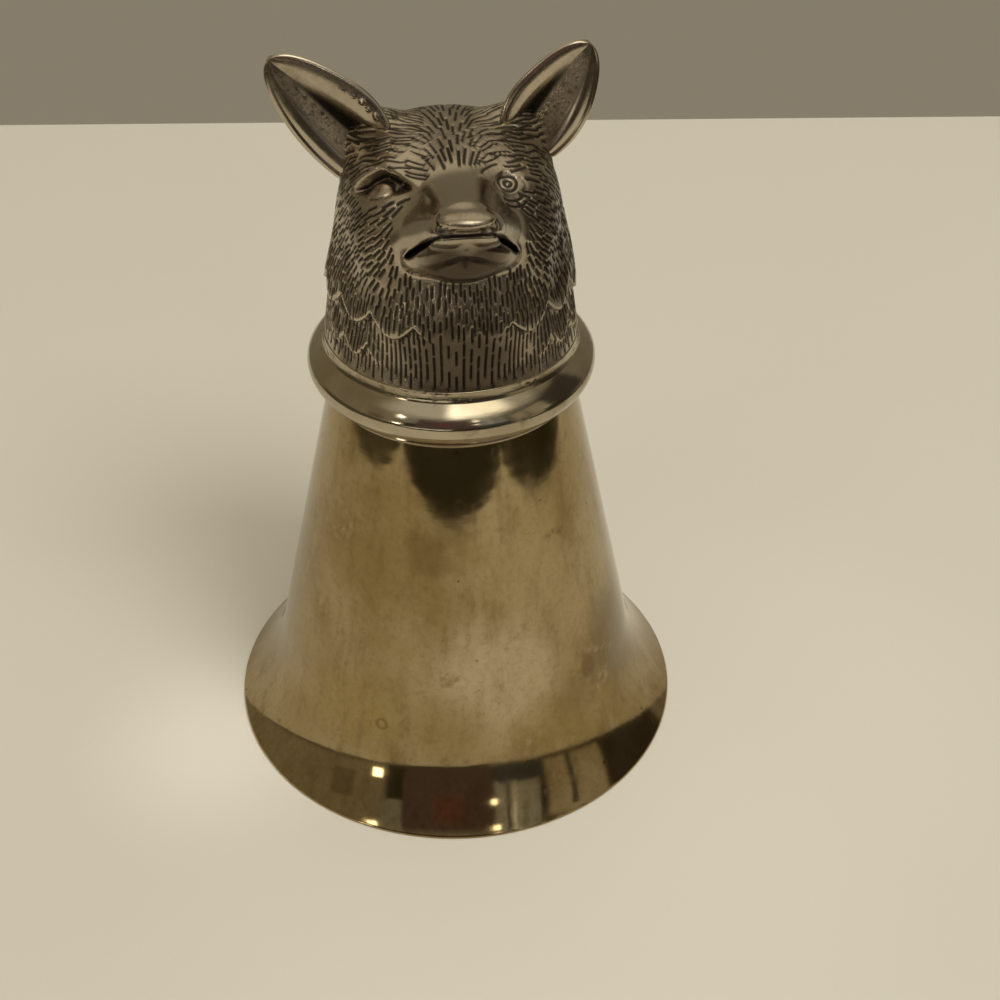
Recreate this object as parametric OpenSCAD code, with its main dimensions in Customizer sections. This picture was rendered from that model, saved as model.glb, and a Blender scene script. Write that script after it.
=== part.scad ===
// Stirrup cup: a spun bell-shaped cup that stands on its lip, with a cast fox head on its closed end.
// Millimetres. The origin is the centre of the lip's plane, +Z is up and the fox looks along -Y.

/* [Cup] */
// Outer diameter of the lip
lip_d = 67; // [62:0.5:74]
// Diameter of the cup's closed end
cup_end_d = 31; // [28:0.2:34]
// Height of the cup from its lip to its closed end
cup_h = 62; // [56:0.5:70]
// Height of the flared part of the wall
flare_h = 14; // [10:0.5:20]
// How far the wall widens, on the radius, from the closed end to the top of the flare
cone_spread = 10.55; // [9:0.05:12]
// Thickness of the spun wall and floor
wall = 0.9; // [0.6:0.1:1.4]
// Height of the upright edge at the rim of the lip
lip_edge = 0.35; // [0.2:0.05:0.8]

/* [Collar] */
// Height of the collar ring
collar_h = 5; // [4:0.1:7]
// How far the half-round of the collar stands out from the neck
collar_bulge = 1.9; // [1.2:0.05:3]
// How far the closed end of the cup lies below the top of the collar
cup_recess = 0.4; // [0.2:0.1:1.5]
// Height of the solder fillet between the collar and the neck
neck_fillet_h = 2.6; // [1:0.1:3.5]
// Height of the solder fillet between the collar and the cup
cup_fillet_h = 0.9; // [0.4:0.1:1.5]

/* [Head] */
// How far the neck stands out past the closed end of the cup, on the radius
neck_overhang = 1.7; // [1.6:0.05:2.6]
// How much the neck's radius shrinks for each millimetre of height
neck_taper = 0.155; // [0.1:0.005:0.2]
// Height of the crown above the collar
crown_h = 30.3; // [28:0.1:34]
// Height above the collar where the neck turns into the dome of the skull
dome_start = 14.6; // [12:0.2:17]
// How square the dome is: 2 is an ellipsoid
dome_power = 3.6; // [2.4:0.1:4.5]
// Thickness of the cast wall at the neck
cast_wall = 1.9; // [1.4:0.1:3]

/* [Muzzle] */
// Distance of the nose pad from the axis of the cup
nose_reach = 21.8; // [19:0.1:24]
// Height of the nose pad above the collar
nose_h = 29.6; // [27:0.1:31]
// Half sizes of the nose pad
nose_pad = [3.3, 1.9, 0.95]; // [0.8:0.05:4]
// Distance between the corners of the mouth
mouth_w = 14.6; // [12:0.1:17]
// Depth of the mouth line
mouth_depth = 1.2; // [0.8:0.1:2.2]

/* [Eyes] */
// Distance of the left eye from the middle of the face
left_eye_out = 8.3; // [7:0.1:9]
// Distance of the right eye from the middle of the face
right_eye_out = 6.1; // [5:0.1:7.5]
// Height of the eyes above the collar
eye_h = 27.2; // [26:0.1:28]
// Depth of the left eye under its brow
left_eye_depth = 1.1; // [0.4:0.05:1.5]
// Depth of the right eye under its brow
right_eye_depth = 0.7; // [0.4:0.05:1.5]
// How far a brow stands out over its eye
brow_h = 0.3; // [0.1:0.05:0.6]

/* [Ruff] */
// How far the upper row of fur tufts stands out
upper_tuft = 0.7; // [0.2:0.05:1]
// How far the lower row of fur tufts stands out
lower_tuft = 0.4; // [0.2:0.05:1]
// Angle round the neck that one tuft of the upper row takes
tuft_angle = 22; // [15:1:30]

/* [Ears] */
// Length of the left ear from its root to its tip
left_ear_l = 15.8; // [11:0.1:18]
// Length of the right ear from its root to its tip
right_ear_l = 14; // [11:0.1:18]
// Width of an ear at its widest
ear_w = 12.8; // [10:0.1:14]
// Depth of an ear from its rim to its back
ear_depth = 4.6; // [3.6:0.1:6]
// Thickness of an ear's wall
ear_wall = 1.1; // [0.8:0.05:1.5]
// Distance between the roots of the ears
ear_gap = 20; // [18:0.1:22]
// Height of the ears' roots above the collar
ear_h = 27.2; // [25:0.1:29]
// How far the roots lie behind the axis of the cup
ear_back = 3; // [2:0.1:6]
// Outward lean of the left ear
left_splay = 44; // [25:1:50]
// Outward lean of the right ear
right_splay = 32; // [25:1:50]

/* [Fits] */
// Film of solder between two pieces
solder = 0.06; // [0.04:0.01:0.12]

/* [Hidden] */
$fn = 128;
silver = "#a79b83";
worn_silver = "#b3a684";
dark_silver = "#857b66";
function bezier(a, b, c, t) = (1 - t) * (1 - t) * a + 2 * t * (1 - t) * b + t * t * c;

// Cup wall: a straight cone from the closed end, then a flare that ends at the lip
cup_end_r = cup_end_d / 2;
cone_end = [cup_end_r + cone_spread, flare_h];
cone_slope = cone_spread / (cup_h - flare_h);
wall_edge = [lip_d / 2, lip_edge];
flare_steps = 14;
flare_pull = 0.6;
flare_handle = cone_end + flare_pull * flare_h * [cone_slope, -1];
flare = [for (i = [0:flare_steps]) bezier(cone_end, flare_handle, wall_edge, i / flare_steps)];
function cup_r(z) = cup_end_r + cone_slope * (cup_h - z);
function flare_slope(t) =
    let (d = (1 - t) * (flare_handle - cone_end) + t * (wall_edge - flare_handle))
    -d.x / d.y;
// Width of the wall measured level, so that it keeps its thickness where it leans
function level_wall(slope) = wall * sqrt(1 + slope * slope);
floor_r = cup_end_r + cone_slope * wall - level_wall(cone_slope);

// Collar: bored to the cup, with a half-round outside and a flat top that carries the neck
neck_r = cup_end_r + neck_overhang;
collar_top = cup_h + cup_recess;
collar_z = collar_top - collar_h;
collar_mid = collar_top - collar_h / 2;
collar_land = 0.3;
collar_root = neck_r - collar_land;
collar_reach = collar_bulge + collar_land;
function collar_edge(angle) =
    [collar_root + collar_reach * cos(angle), collar_mid + collar_h / 2 * sin(angle)];
fillet_steps = 8;
// Angles on the half-round where the two fillets leave it, and the cove's thickness at its top edge
cove_angle = 50;
under_angle = -65;
cove_edge = 0.12;

// Head: heights are above its seat, and all forms but the eyes are the same on both sides
seat = collar_top + solder;
core_r = neck_r - cast_wall;
core_slope = neck_taper * 1.3;
core_top = 24;
core_round = 9;
plain_band = neck_fillet_h + 0.2;
band_fade = 2;

// Skull: a cone that turns into a dome
dome_lead = 1;
dome_taper = 0.12;

// Rounded swellings of the skull and face: where each one sits and its half sizes
ear_base_at = [ear_gap / 2 - 1.2, ear_back + 1.4, ear_h - 1.4];
ear_base = [4.2, 4, 5];
cheek_at = [6.6, -8, 20.1];
cheek = [5.4, 5.8, 7];
bib_at = [0, -7.7, 9.6];
bib = [9.5, 9.6, 13];
// The bib draws in towards the plain band at the foot of the neck
bib_draw = 4;
bib_fade = [plain_band - 4, plain_band + 9];

// Muzzle and jaw: rods from the face to the tip, with their radii there, and a ball that fills the jaw
nose_at = [0, -nose_reach, nose_h];
pad_at = nose_at + [0, 0.1, -0.65];
bridge = [[0, -7, nose_h - 5.6], nose_at + [0, 2.2, -2.2]];
bridge_r = [5.2, 2.7];
bridge_flat = 0.78;
lip_inset = 1.6;
lip_drop = 7.3;
upper_lip = [[mouth_w / 2 - lip_inset, -12.2, nose_h - lip_drop], nose_at + [2.5, 1.3, -2.5]];
upper_lip_r = [2.5, 1.6];
// The lower lip runs back from the front of the chin, round a bend, to the corner of the mouth
lip_bend = [4.2, -17.6, nose_h - 7.2];
lip_front = [nose_at + [0, 1.6, -5.3], lip_bend];
corner_inset = 1.2;
corner_drop = 10.6;
lip_side = [lip_bend, [mouth_w / 2 - corner_inset, -12, nose_h - corner_drop]];
lip_front_r = [1.5, 1.5];
lip_side_r = [1.5, 1.8];
jaw_drop = 8.6;
jaw_at = [0, -13.2, nose_h - jaw_drop];
jaw = [6, 6.2, 3.6];

// Mouth: it falls from under the nose to its corners, where it gapes before it closes
mouth_front = [-nose_reach - 1.2, nose_h - 2.6];
mouth_fall = 0.62;
mouth_droop = 1.2;
droop_span = [4, 7.5];
mouth_half = 0.38;
mouth_gape = 0.3;
gape_span = [2.6, mouth_w / 2 - 2.3];
corner_span = [mouth_w / 2 - 1.6, mouth_w / 2];

// Eyes: a hollow with a peaked upper edge under a brow, and a low ball in it
left_eye_at = [left_eye_out, -9.2, eye_h];
right_eye_at = [right_eye_out, -10.4, eye_h];
// Half length of each hollow, and how far it reaches above and below the eye's middle
left_hollow = [4.9, 2.6, 2];
right_hollow = [3.3, 2.3, 2];
hollow_peak = 1.3;
hollow_slope = 2.4;
hollow_ends = [0.85, 1];
brow_edge = [-0.8, 0.5];
brow_fade = [0.6, 2.2];
brow_ends = [0.7, 1.2];
// Half sizes of the ball on the surface, and how much of the hollow's depth it fills
eye_ball = [1.9, 1.35];
ball_fill = 0.6;
// Past this distance from its middle an eye changes nothing
eye_reach = [5.5, 6.5];
// The eye's own directions: along it from the nose outwards, out of the face, and up to the brow
eye_along = [0.735, 0.598, -0.31];
eye_out = [0.613, -0.445, 0.594];
eye_up = cross(eye_out, eye_along) / norm(cross(eye_out, eye_along));

// Ruff: a row of rounded tufts round the neck under the cheeks, and a short row of small ones below it.
// Each row has the height of its highest edges, the dip of its tufts, their angle and where the row starts.
upper_row_h = 11.9;
upper_dip = 2.4;
upper_shift = 20;
lower_row_h = 6.9;
lower_dip = 1.9;
lower_angle = 15;
tuft_step = 0.7;
upper_fade_h = 9;
lower_fade_h = 4;
upper_start = [10, 20];
lower_start = [34, 44];
lower_end = [70, 80];
tuft_end = [100, 125];

// How softly each form runs into the ones before it
ear_base_blend = 2.5;
bib_blend = 4;
cheek_blend = 3;
lip_blend = 1.7;
jaw_blend = 2.4;
muzzle_blend = 1.6;
mouth_blend = 0.7;
fine_blend = 0.5;

// Blends and distances that the forms are made of
function smooth_min(a, b, k) = let (h = max(k - abs(a - b), 0) / k) min(a, b) - h * h * k / 4;
function smooth_max(a, b, k) = -smooth_min(-a, -b, k);
function ramp(span, t) =
    let (u = max(0, min(1, (t - span[0]) / (span[1] - span[0]))))
    u * u * (3 - 2 * u);
function ball(p, c, r) =
    let (q = [(p.x - c.x) / r.x, (p.y - c.y) / r.y, (p.z - c.z) / r.z], n = norm(q))
    n * (n - 1) / max(norm([q.x / r.x, q.y / r.y, q.z / r.z]), 1e-6);
// A rod between two ends whose radius changes along it, made wider or narrower sideways by flat
function rod(p, ends, r, flat = 1) =
    let (
        d = ends[1] - ends[0],
        t = max(0, min(1, (p - ends[0]) * d / (d * d))),
        q = p - ends[0] - t * d
    )
    norm([q.x * flat, q.y, q.z]) - r[0] - (r[1] - r[0]) * t;

function neck_cone(h) =
    let (turn_h = dome_start - dome_lead)
    neck_r - neck_taper * min(h, turn_h) - dome_taper * max(h - turn_h, 0);
function skull(p) =
    let (
        a = neck_cone(p.z),
        across = norm([p.x, p.y]) / a,
        up = max(p.z - dome_start, 0) / (crown_h - dome_start)
    )
    (pow(pow(across, dome_power) + pow(up, dome_power), 1 / dome_power) - 1) * a;
function tuft_row(h, fade_h) = ramp([-tuft_step, tuft_step], h) * (1 - ramp([tuft_step, fade_h], h));
function ruff(p) =
    let (
        turn = atan2(p.x, -p.y),
        upper = upper_row_h - upper_dip * abs(sin((turn - upper_shift) * 180 / tuft_angle)),
        lower = lower_row_h - lower_dip * abs(sin(turn * 180 / lower_angle)),
        lower_part = ramp(lower_start, turn) * (1 - ramp(lower_end, turn))
    )
    (upper_tuft * tuft_row(p.z - upper, upper_fade_h) * ramp(upper_start, turn)
        + lower_tuft * tuft_row(p.z - lower, lower_fade_h) * lower_part)
        * (1 - ramp(tuft_end, turn)) * ramp([plain_band, plain_band + band_fade], p.z);
// Behind these marks the bib and cheeks, or the ruff, change nothing
front_back = 2;
ruff_back = 12;
function bib_field(p) = ball(p, bib_at, bib) + bib_draw * (1 - ramp(bib_fade, p.z));
function soft_forms(p) =
    let (
        bump = smooth_min(skull(p), ball(p, ear_base_at, ear_base), ear_base_blend),
        chest = p.y > front_back ? bump : smooth_min(bump, bib_field(p), bib_blend),
        round = p.y > front_back ? chest : smooth_min(chest, ball(p, cheek_at, cheek), cheek_blend)
    )
    p.y > ruff_back ? round : round - ruff(p);
function muzzle(p) = smooth_min(rod(p, bridge, bridge_r, bridge_flat),
    rod(p, upper_lip, upper_lip_r), lip_blend);
function chin(p) = smooth_min(ball(p, jaw_at, jaw),
    min(rod(p, lip_front, lip_front_r), rod(p, lip_side, lip_side_r)), jaw_blend);
// How far an eye sinks the surface: its hollow less the brow and the ball
function eye_sink(p, at, hollow, depth) =
    let (d = p - at, far = norm(d))
    far > eye_reach[1] ? 0 :
    let (
        along = d * eye_along,
        end = abs(along) / hollow.x,
        s = min(1, end),
        over = d * eye_up - hollow.y * (1 - pow(s, hollow_peak)),
        under = d * eye_up + hollow.z * (1 - s * s),
        inside = (1 - ramp(brow_edge, over)) * ramp([0, hollow_slope], under) * (1 - ramp(hollow_ends, s)),
        brow = ramp(brow_edge, over) * (1 - ramp(brow_fade, over)) * (1 - ramp(brow_ends, end)),
        round = max(0, 1 - pow(along / eye_ball.x, 2) - pow(d * eye_up / eye_ball.y, 2))
    )
    (depth * inside - brow_h * brow - ball_fill * depth * sqrt(round)) * (1 - ramp(eye_reach, far));
function mouth(p) =
    let (
        line = mouth_front.y - mouth_fall * (p.y - mouth_front.x) - mouth_droop * ramp(droop_span, p.x),
        half = mouth_half + mouth_gape * ramp(gape_span, p.x)
            - 2 * (mouth_half + mouth_gape) * ramp(corner_span, p.x)
    )
    abs(p.z - line) / norm([1, mouth_fall]) - half;
function face(p, left) =
    let (
        snout = smooth_min(soft_forms(p), muzzle(p), muzzle_blend),
        jawed = smooth_min(snout, chin(p), fine_blend),
        nosed = smooth_min(jawed, ball(p, pad_at, nose_pad), fine_blend),
        eyed = nosed + (left ? eye_sink(p, left_eye_at, left_hollow, left_eye_depth)
            : eye_sink(p, right_eye_at, right_hollow, right_eye_depth))
    )
    smooth_max(eyed, min(eyed + mouth_depth, -mouth(p)), mouth_blend);
// Behind and below these marks there is no face, so only the soft forms are worked out
face_back = -3;
face_low = 12;
function head_field(p) =
    let (q = [abs(p.x), p.y, p.z])
    p.y > face_back || p.z < face_low ? soft_forms(q) : face(q, p.x < 0);

// Distance along a ray where the field reaches a level: halvings first, then straight-line steps
halvings = 4;
straight_steps = 2;
function reach(o, d, level, near, far, f_near, f_far, steps) =
    let (straight = near + (far - near) * f_near / (f_near - f_far))
    steps == 0 ? straight :
    let (
        mid = steps > straight_steps ? (near + far) / 2 : straight,
        f = head_field(o + mid * d) - level
    )
    f > 0 ? reach(o, d, level, near, mid, f_near, f, steps - 1)
        : reach(o, d, level, mid, far, f, f_far, steps - 1);
function surface_point(o, d, level, near, far) =
    let (f_near = head_field(o + near * d) - level, f_far = head_field(o + far * d) - level)
    o + reach(o, d, level, near, far, f_near, f_far, halvings + straight_steps) * d;

// Rays that find the head's surface: level rows up the neck, then a fan that rises over the face
fan_from = [0, -2, 16.4];
neck_rows = 22;
ray_near = 8;
ray_far = 32;
// The rays lie closest together on the face: [from angle, to angle, count]
turn_bands = [[0, 25, 14], [25, 65, 20], [65, 125, 9], [125, 180, 4]];
rise_bands = [[0, 8, 3], [8, 40, 22], [40, 58, 10], [58, 87, 7]];
function spread(bands) = [for (b = bands) for (i = [1:b[2]]) b[0] + (b[1] - b[0]) * i / b[2]];
half_turns = spread(turn_bands);
turns = concat([0], half_turns, [for (i = [len(half_turns) - 2:-1:0]) 360 - half_turns[i]]);
rises = concat([for (i = [0:neck_rows]) 0], spread(rise_bands));
function ray(turn, rise) = [sin(turn) * cos(rise), -cos(turn) * cos(rise), sin(rise)];
function head_row(row) =
    let (o = fan_from * min(1, row / neck_rows))
    [for (turn = turns) surface_point(o, ray(turn, rises[row]), 0, ray_near, ray_far)];

// Faces over rows of points that close round, and over the last row and one point past it
function band_faces(rows, n) = [for (r = [0:rows - 2]) for (i = [0:n - 1])
    let (a = r * n + i, b = r * n + (i + 1) % n)
    each [[a, a + n, b], [b, a + n, b + n]]];
function cap_faces(rows, n) = [for (i = [0:n - 1])
    [(rows - 1) * n + i, rows * n, (rows - 1) * n + (i + 1) % n]];
function turned_over(faces) = [for (f = faces) [for (i = [len(f) - 1:-1:0]) f[i]]];

// Ear: a scoop whose sections run from its root on the head to its tip
ear_rows = 13;
ear_across = 11;
ear_points = 2 * ear_across;
ear_last = ear_points - 1;
ear_tip_r = 0.14;
ear_narrowing = 0.5;
// The inner edge draws in over the lowest part of the ear, where it runs down to the crown
root_tuck = 0.34;
tuck_end = 0.45;
ear_shallowing = 0.72;
tip_roundness = 5;
ear_tilt_back = 0.08;
// Across the ear from its outer rim: a flat border, a slope to the fold, and a full lobe up to the inner rim
border_side = 0.14;
border_depth = 0.08;
fold_side = 0.55;
lobe_fullness = 2;
rim_share = 0.8;
back_edge_share = 0.35;
back_fullness = 0.75;
root_start = 0.16;
root_search = [-8, 4];
tip_margin = 0.4;
function ear_half(t) = ear_w / 2 * (1 - ear_narrowing * t) * sqrt(1 - pow(t, tip_roundness)) + ear_tip_r;
function inner_draw(t) = 1 - root_tuck * pow(max(0, 1 - t / tuck_end), 2);
function ear_scoop(t) = ear_depth * (1 - ear_shallowing * t);
function scoop(u) = sin(90 * (u < fold_side ? u / fold_side : 1 + (u - fold_side) / (1 - fold_side)));
function hollow(u) = u > fold_side ? pow((1 - u) / (1 - fold_side), lobe_fullness)
    : border_depth + (1 - border_depth) * max(0, (u - border_side) / (fold_side - border_side));
// One point of a section: across the ear from its outer to its inner rim, and behind its rim
function ear_section(t, j) =
    let (
        half = ear_half(t),
        at_back = j < ear_across,
        u = (at_back ? j : ear_last - j) / (ear_across - 1),
        rim = min(ear_wall * rim_share, half / 2),
        edge = ear_wall * back_edge_share,
        deep = ear_scoop(t),
        out = 2 * u - 1,
        side = out > 0 ? out * inner_draw(t) : out
    )
    at_back ? [half * side, edge + (deep - edge) * pow(scoop(u), back_fullness)]
        : [(half - rim) * side, max(0, deep - ear_wall) * hollow(u) * (1 - pow(t, 3))];
function ear_axis(side, splay) =
    let (axis = [side * sin(splay), ear_tilt_back, cos(splay)])
    axis / norm(axis);
function ear_place(side, splay, length, t, q) =
    let (axis = ear_axis(side, splay))
    [side * ear_gap / 2, ear_back + q.y - ear_depth / 2, ear_h]
        + axis * length * t + cross([0, -1, 0], axis) * side * q.x;

// Spun cup with its mouth down and its closed end up
module cup_shell() {
    outer = concat([[0, cup_h], [cup_end_r, cup_h]], flare);
    inner = [for (i = [flare_steps:-1:0])
        flare[i] - [level_wall(flare_slope(i / flare_steps)), 0]];
    rest_face = [[wall_edge.x, 0], [inner[0].x, 0]];
    color(worn_silver)
    rotate_extrude()
    polygon(concat(outer, rest_face, inner, [[floor_r, cup_h - wall], [0, cup_h - wall]]));
}

// Half-round ring that joins the cup to the head
module collar_ring() {
    outer = [for (a = [-90:7.5:90]) collar_edge(a)];
    bore = [for (z = [collar_top, collar_z]) [cup_r(z) + solder, z]];
    color(silver)
    rotate_extrude()
    polygon(concat(outer, bore));
}

// Fillet of solder in the corner under the collar
module cup_solder() {
    low = collar_z - cup_fillet_h;
    under = [for (a = [-90:5:under_angle]) collar_edge(a) - [0, solder]];
    out = under[len(under) - 1];
    foot = [cup_r(low) + solder, low];
    corner = [cup_r(collar_z) + solder, collar_z - solder];
    hollow = (out + foot) * 0.3 + corner * 0.4;
    cove = [for (i = [1:fillet_steps]) bezier(out, hollow, foot, i / fillet_steps)];
    color(dark_silver)
    rotate_extrude()
    polygon(concat([corner], under, cove));
}

// Dressed fillet of solder between the collar and the neck, a cove that leaves both of them smoothly
module neck_solder() {
    inner = [neck_r + solder, seat];
    upper = [neck_cone(neck_fillet_h) + solder, seat + neck_fillet_h];
    over = [for (a = [cove_angle:5:85]) collar_edge(a) + solder * [cos(a), sin(a)]];
    along = [-collar_reach * sin(cove_angle), collar_h / 2 * cos(cove_angle)];
    hollow = over[0] - along * (over[0].x - inner.x - cove_edge) / along.x;
    cove = [for (i = [0:fillet_steps - 1])
        bezier(upper + [cove_edge, 0], hollow, over[0], i / fillet_steps)];
    color(silver)
    rotate_extrude()
    polygon(concat([for (p = over) if (p.x > inner.x + solder) p], [inner, upper], cove));
}

// Hollow cast head of the fox, open at the neck
module head_casting() {
    rows = len(rises);
    n = len(turns);
    points = [for (r = [0:rows - 1]) each head_row(r)];
    crown = surface_point(fan_from, [0, 0, 1], 0, ray_near, ray_far);
    foot = [[for (i = [0:n - 1]) i]];
    round_z = core_top - core_round;
    round_r = core_r - core_slope * round_z - core_round;
    dome = [for (a = [0:10:90]) [round_r, round_z] + core_round * [cos(a), sin(a)]];
    color(dark_silver)
    translate([0, 0, seat])
    difference() {
        polyhedron(concat(points, [crown]), concat(foot, band_faces(rows, n), cap_faces(rows, n)), 10);
        rotate_extrude()
        polygon(concat([[0, -1], [core_r + core_slope, -1]], dome, [[0, core_top]]));
    }
}

// One cast ear, its foot shaped to the head
module ear(side, splay, length) {
    root = [for (j = [0:ear_last]) surface_point(
        ear_place(side, splay, length, root_start, ear_section(0, j)),
        ear_axis(side, splay), solder, root_search[0], root_search[1])];
    body = [for (r = [1:ear_rows])
        let (t = root_start + (1 - root_start) * r / (ear_rows + tip_margin))
        for (j = [0:ear_last]) ear_place(side, splay, length, t, ear_section(t, j))];
    tip = ear_place(side, splay, length, 1, [0, ear_scoop(1) / 2]);
    foot = [for (j = [0:ear_across - 2]) let (k = ear_last - j)
        each [[j, j + 1, k], [j + 1, k - 1, k]]];
    faces = concat(foot, band_faces(ear_rows + 1, ear_points), cap_faces(ear_rows + 1, ear_points));
    color(silver)
    translate([0, 0, seat])
    polyhedron(concat(root, body, [tip]), side < 0 ? turned_over(faces) : faces, 10);
}

module left_ear() { ear(-1, left_splay, left_ear_l); }
module right_ear() { ear(1, right_splay, right_ear_l); }

cup_shell();
collar_ring();
cup_solder();
neck_solder();
head_casting();
left_ear();
right_ear();
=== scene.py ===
# %% [markdown]
# # A silver stirrup cup with a fox head
#
# A stirrup cup is handed to a rider who can't put it down until it is empty, so it has no foot: it stands
# on its lip, with a fox's head where the foot would be. The real one is a bell of spun silver, a half-round
# collar, and a cast head that a chaser has engraved with fur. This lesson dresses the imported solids: every
# piece is made again at a finer scale, in the same place, and gets the finish that old silver has.

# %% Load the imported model
import math

import bpy
import numpy as np
from mathutils import Euler, Matrix, Vector


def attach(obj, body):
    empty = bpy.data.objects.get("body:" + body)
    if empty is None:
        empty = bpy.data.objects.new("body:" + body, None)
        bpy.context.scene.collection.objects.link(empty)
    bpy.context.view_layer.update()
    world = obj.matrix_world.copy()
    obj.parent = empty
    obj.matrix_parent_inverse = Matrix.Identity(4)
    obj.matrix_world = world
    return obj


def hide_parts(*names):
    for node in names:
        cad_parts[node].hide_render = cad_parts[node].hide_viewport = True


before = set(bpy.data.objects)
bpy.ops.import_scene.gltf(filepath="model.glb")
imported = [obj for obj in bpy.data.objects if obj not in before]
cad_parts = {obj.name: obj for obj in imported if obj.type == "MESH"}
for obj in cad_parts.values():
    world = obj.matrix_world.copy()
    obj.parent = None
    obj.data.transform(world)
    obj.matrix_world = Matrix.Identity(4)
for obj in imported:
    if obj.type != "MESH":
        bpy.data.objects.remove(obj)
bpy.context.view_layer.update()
MM = 0.001
print("nodes:", sorted(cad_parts))

# %% [markdown]
# ## The camera
#
# The photograph was taken by hand from above, a forearm's length away. Its camera was worked out from the
# ellipses of the lip and the collar, so a point of the model falls on the same place of the picture. The
# head is turned a little on its cup, and as the model looks straight along -Y, the camera takes that turn.

# %% Camera
IMAGE_PX = 1000
FOCAL_PX = 1500
SENSOR_W = 36.0
CAMERA_AT = Vector((-14.91, -170.41, 169.69)) * MM
CAMERA_HEADING = math.radians(7.238)
CAMERA_DIP = math.radians(38.238)
CAMERA_ROLL = math.radians(0.493)

camera_data = bpy.data.cameras.new("camera")
camera_data.sensor_width = SENSOR_W
camera_data.lens = SENSOR_W * FOCAL_PX / IMAGE_PX
camera_data.clip_start = 0.01
camera = bpy.data.objects.new("camera", camera_data)
turn = Euler((math.pi / 2 - CAMERA_DIP, 0, -CAMERA_HEADING), "XYZ").to_matrix().to_4x4()
camera.matrix_world = Matrix.Translation(CAMERA_AT) @ turn @ Matrix.Rotation(CAMERA_ROLL, 4, "Z")
bpy.context.scene.collection.objects.link(camera)
bpy.context.scene.camera = camera
bpy.context.scene.view_settings.view_transform = "Standard"
print("camera lens in mm:", camera_data.lens)

# %% [markdown]
# ## Shaders as sums
#
# A finish is a small formula: so much tarnish here, less on the high spots. Written as nodes it is hard to
# read, so one class wraps a socket and lets Python's own operators add the Math nodes. Every other node
# comes from one method, which sets the node's own settings first and then its sockets. The room behind the
# camera is a formula too, so materials and the room share the class.

# %% Signals and shader trees
class Signal:
    """One output of a shader node, which takes part in arithmetic."""

    def __init__(self, shading, socket):
        self.shading = shading
        self.socket = socket

    def maths(self, operation, *terms):
        return self.shading.node("ShaderNodeMath", {"operation": operation}, dict(enumerate(terms)))

    def __add__(self, other):
        return self.maths("ADD", self, other)

    def __sub__(self, other):
        return self.maths("SUBTRACT", self, other)

    def __rsub__(self, other):
        return self.maths("SUBTRACT", other, self)

    def __mul__(self, other):
        return self.maths("MULTIPLY", self, other)

    __radd__ = __add__
    __rmul__ = __mul__


class Shading:
    """A shader tree that is built node by node."""

    def __init__(self, owner):
        owner.use_nodes = True
        self.owner = owner
        self.tree = owner.node_tree

    def node(self, kind, settings=None, inputs=None, output=0):
        made = self.tree.nodes.new(kind)
        for name, value in (settings or {}).items():
            setattr(made, name, value)
        for name, value in (inputs or {}).items():
            self.feed(made.inputs[name], value)
        return Signal(self, made.outputs[output]) if made.outputs else None

    def feed(self, socket, value):
        if isinstance(value, Signal):
            self.tree.links.new(value.socket, socket)
        else:
            socket.default_value = value

    def ramp(self, value, low, high):
        ends = {"Value": value, "From Min": low, "From Max": high}
        return self.node("ShaderNodeMapRange", {"interpolation_type": "SMOOTHSTEP"}, ends)

    def mix(self, factor, a, b):
        return self.node("ShaderNodeMix", {"data_type": "RGBA"}, {0: factor, 6: a, 7: b}, output=2)


class Finish(Shading):
    """A material with one Principled BSDF."""

    def __init__(self, name):
        super().__init__(bpy.data.materials.new(name))
        self.shader = self.tree.nodes["Principled BSDF"]

    def set(self, **inputs):
        for name, value in inputs.items():
            self.feed(self.shader.inputs[name.replace("_", " ")], value)

    def place(self, stretch=(1, 1, 1), source="Object"):
        coordinates = self.node("ShaderNodeTexCoord", output=source)
        return self.node("ShaderNodeMapping", {}, {"Vector": coordinates, "Scale": stretch})

    def noise(self, size_mm, detail=3.0, rough=0.55, stretch=(1, 1, 1), source="Object"):
        scale = 1.0 if source == "UV" else 1 / (size_mm * MM)
        where = self.place(stretch, source)
        sizes = {"Vector": where, "Scale": scale, "Detail": detail, "Roughness": rough}
        return self.node("ShaderNodeTexNoise", {}, sizes)

    def cells(self, size_mm):
        return self.node("ShaderNodeTexVoronoi", {}, {"Vector": self.place(), "Scale": 1 / (size_mm * MM)})

    def specks(self, size_mm, radius):
        return 1 - self.ramp(self.cells(size_mm), radius * 0.6, radius)

    def spot(self, at_mm, inner_mm, outer_mm, ragged):
        """A ragged spot round a place on the piece: 1 inside it and 0 past its edge."""
        coordinates = self.node("ShaderNodeTexCoord", output="Object")
        centre = tuple(c * MM for c in at_mm)
        ends = {0: coordinates, 1: centre}
        away = self.node("ShaderNodeVectorMath", {"operation": "DISTANCE"}, ends, output=1)
        edge = away + (self.noise(2.4, 4.0, 0.6) - 0.5) * (ragged * MM)
        return 1 - self.ramp(edge, inner_mm * MM, outer_mm * MM)

    def attribute(self, name):
        return self.node("ShaderNodeAttribute", {"attribute_name": name}, output=2)

    def bump(self, height, distance_mm, strength=1.0):
        inputs = {"Height": height, "Distance": distance_mm * MM, "Strength": strength}
        return self.node("ShaderNodeBump", {}, inputs)


def tone(red, green, blue):
    return (red, green, blue, 1.0)
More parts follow.
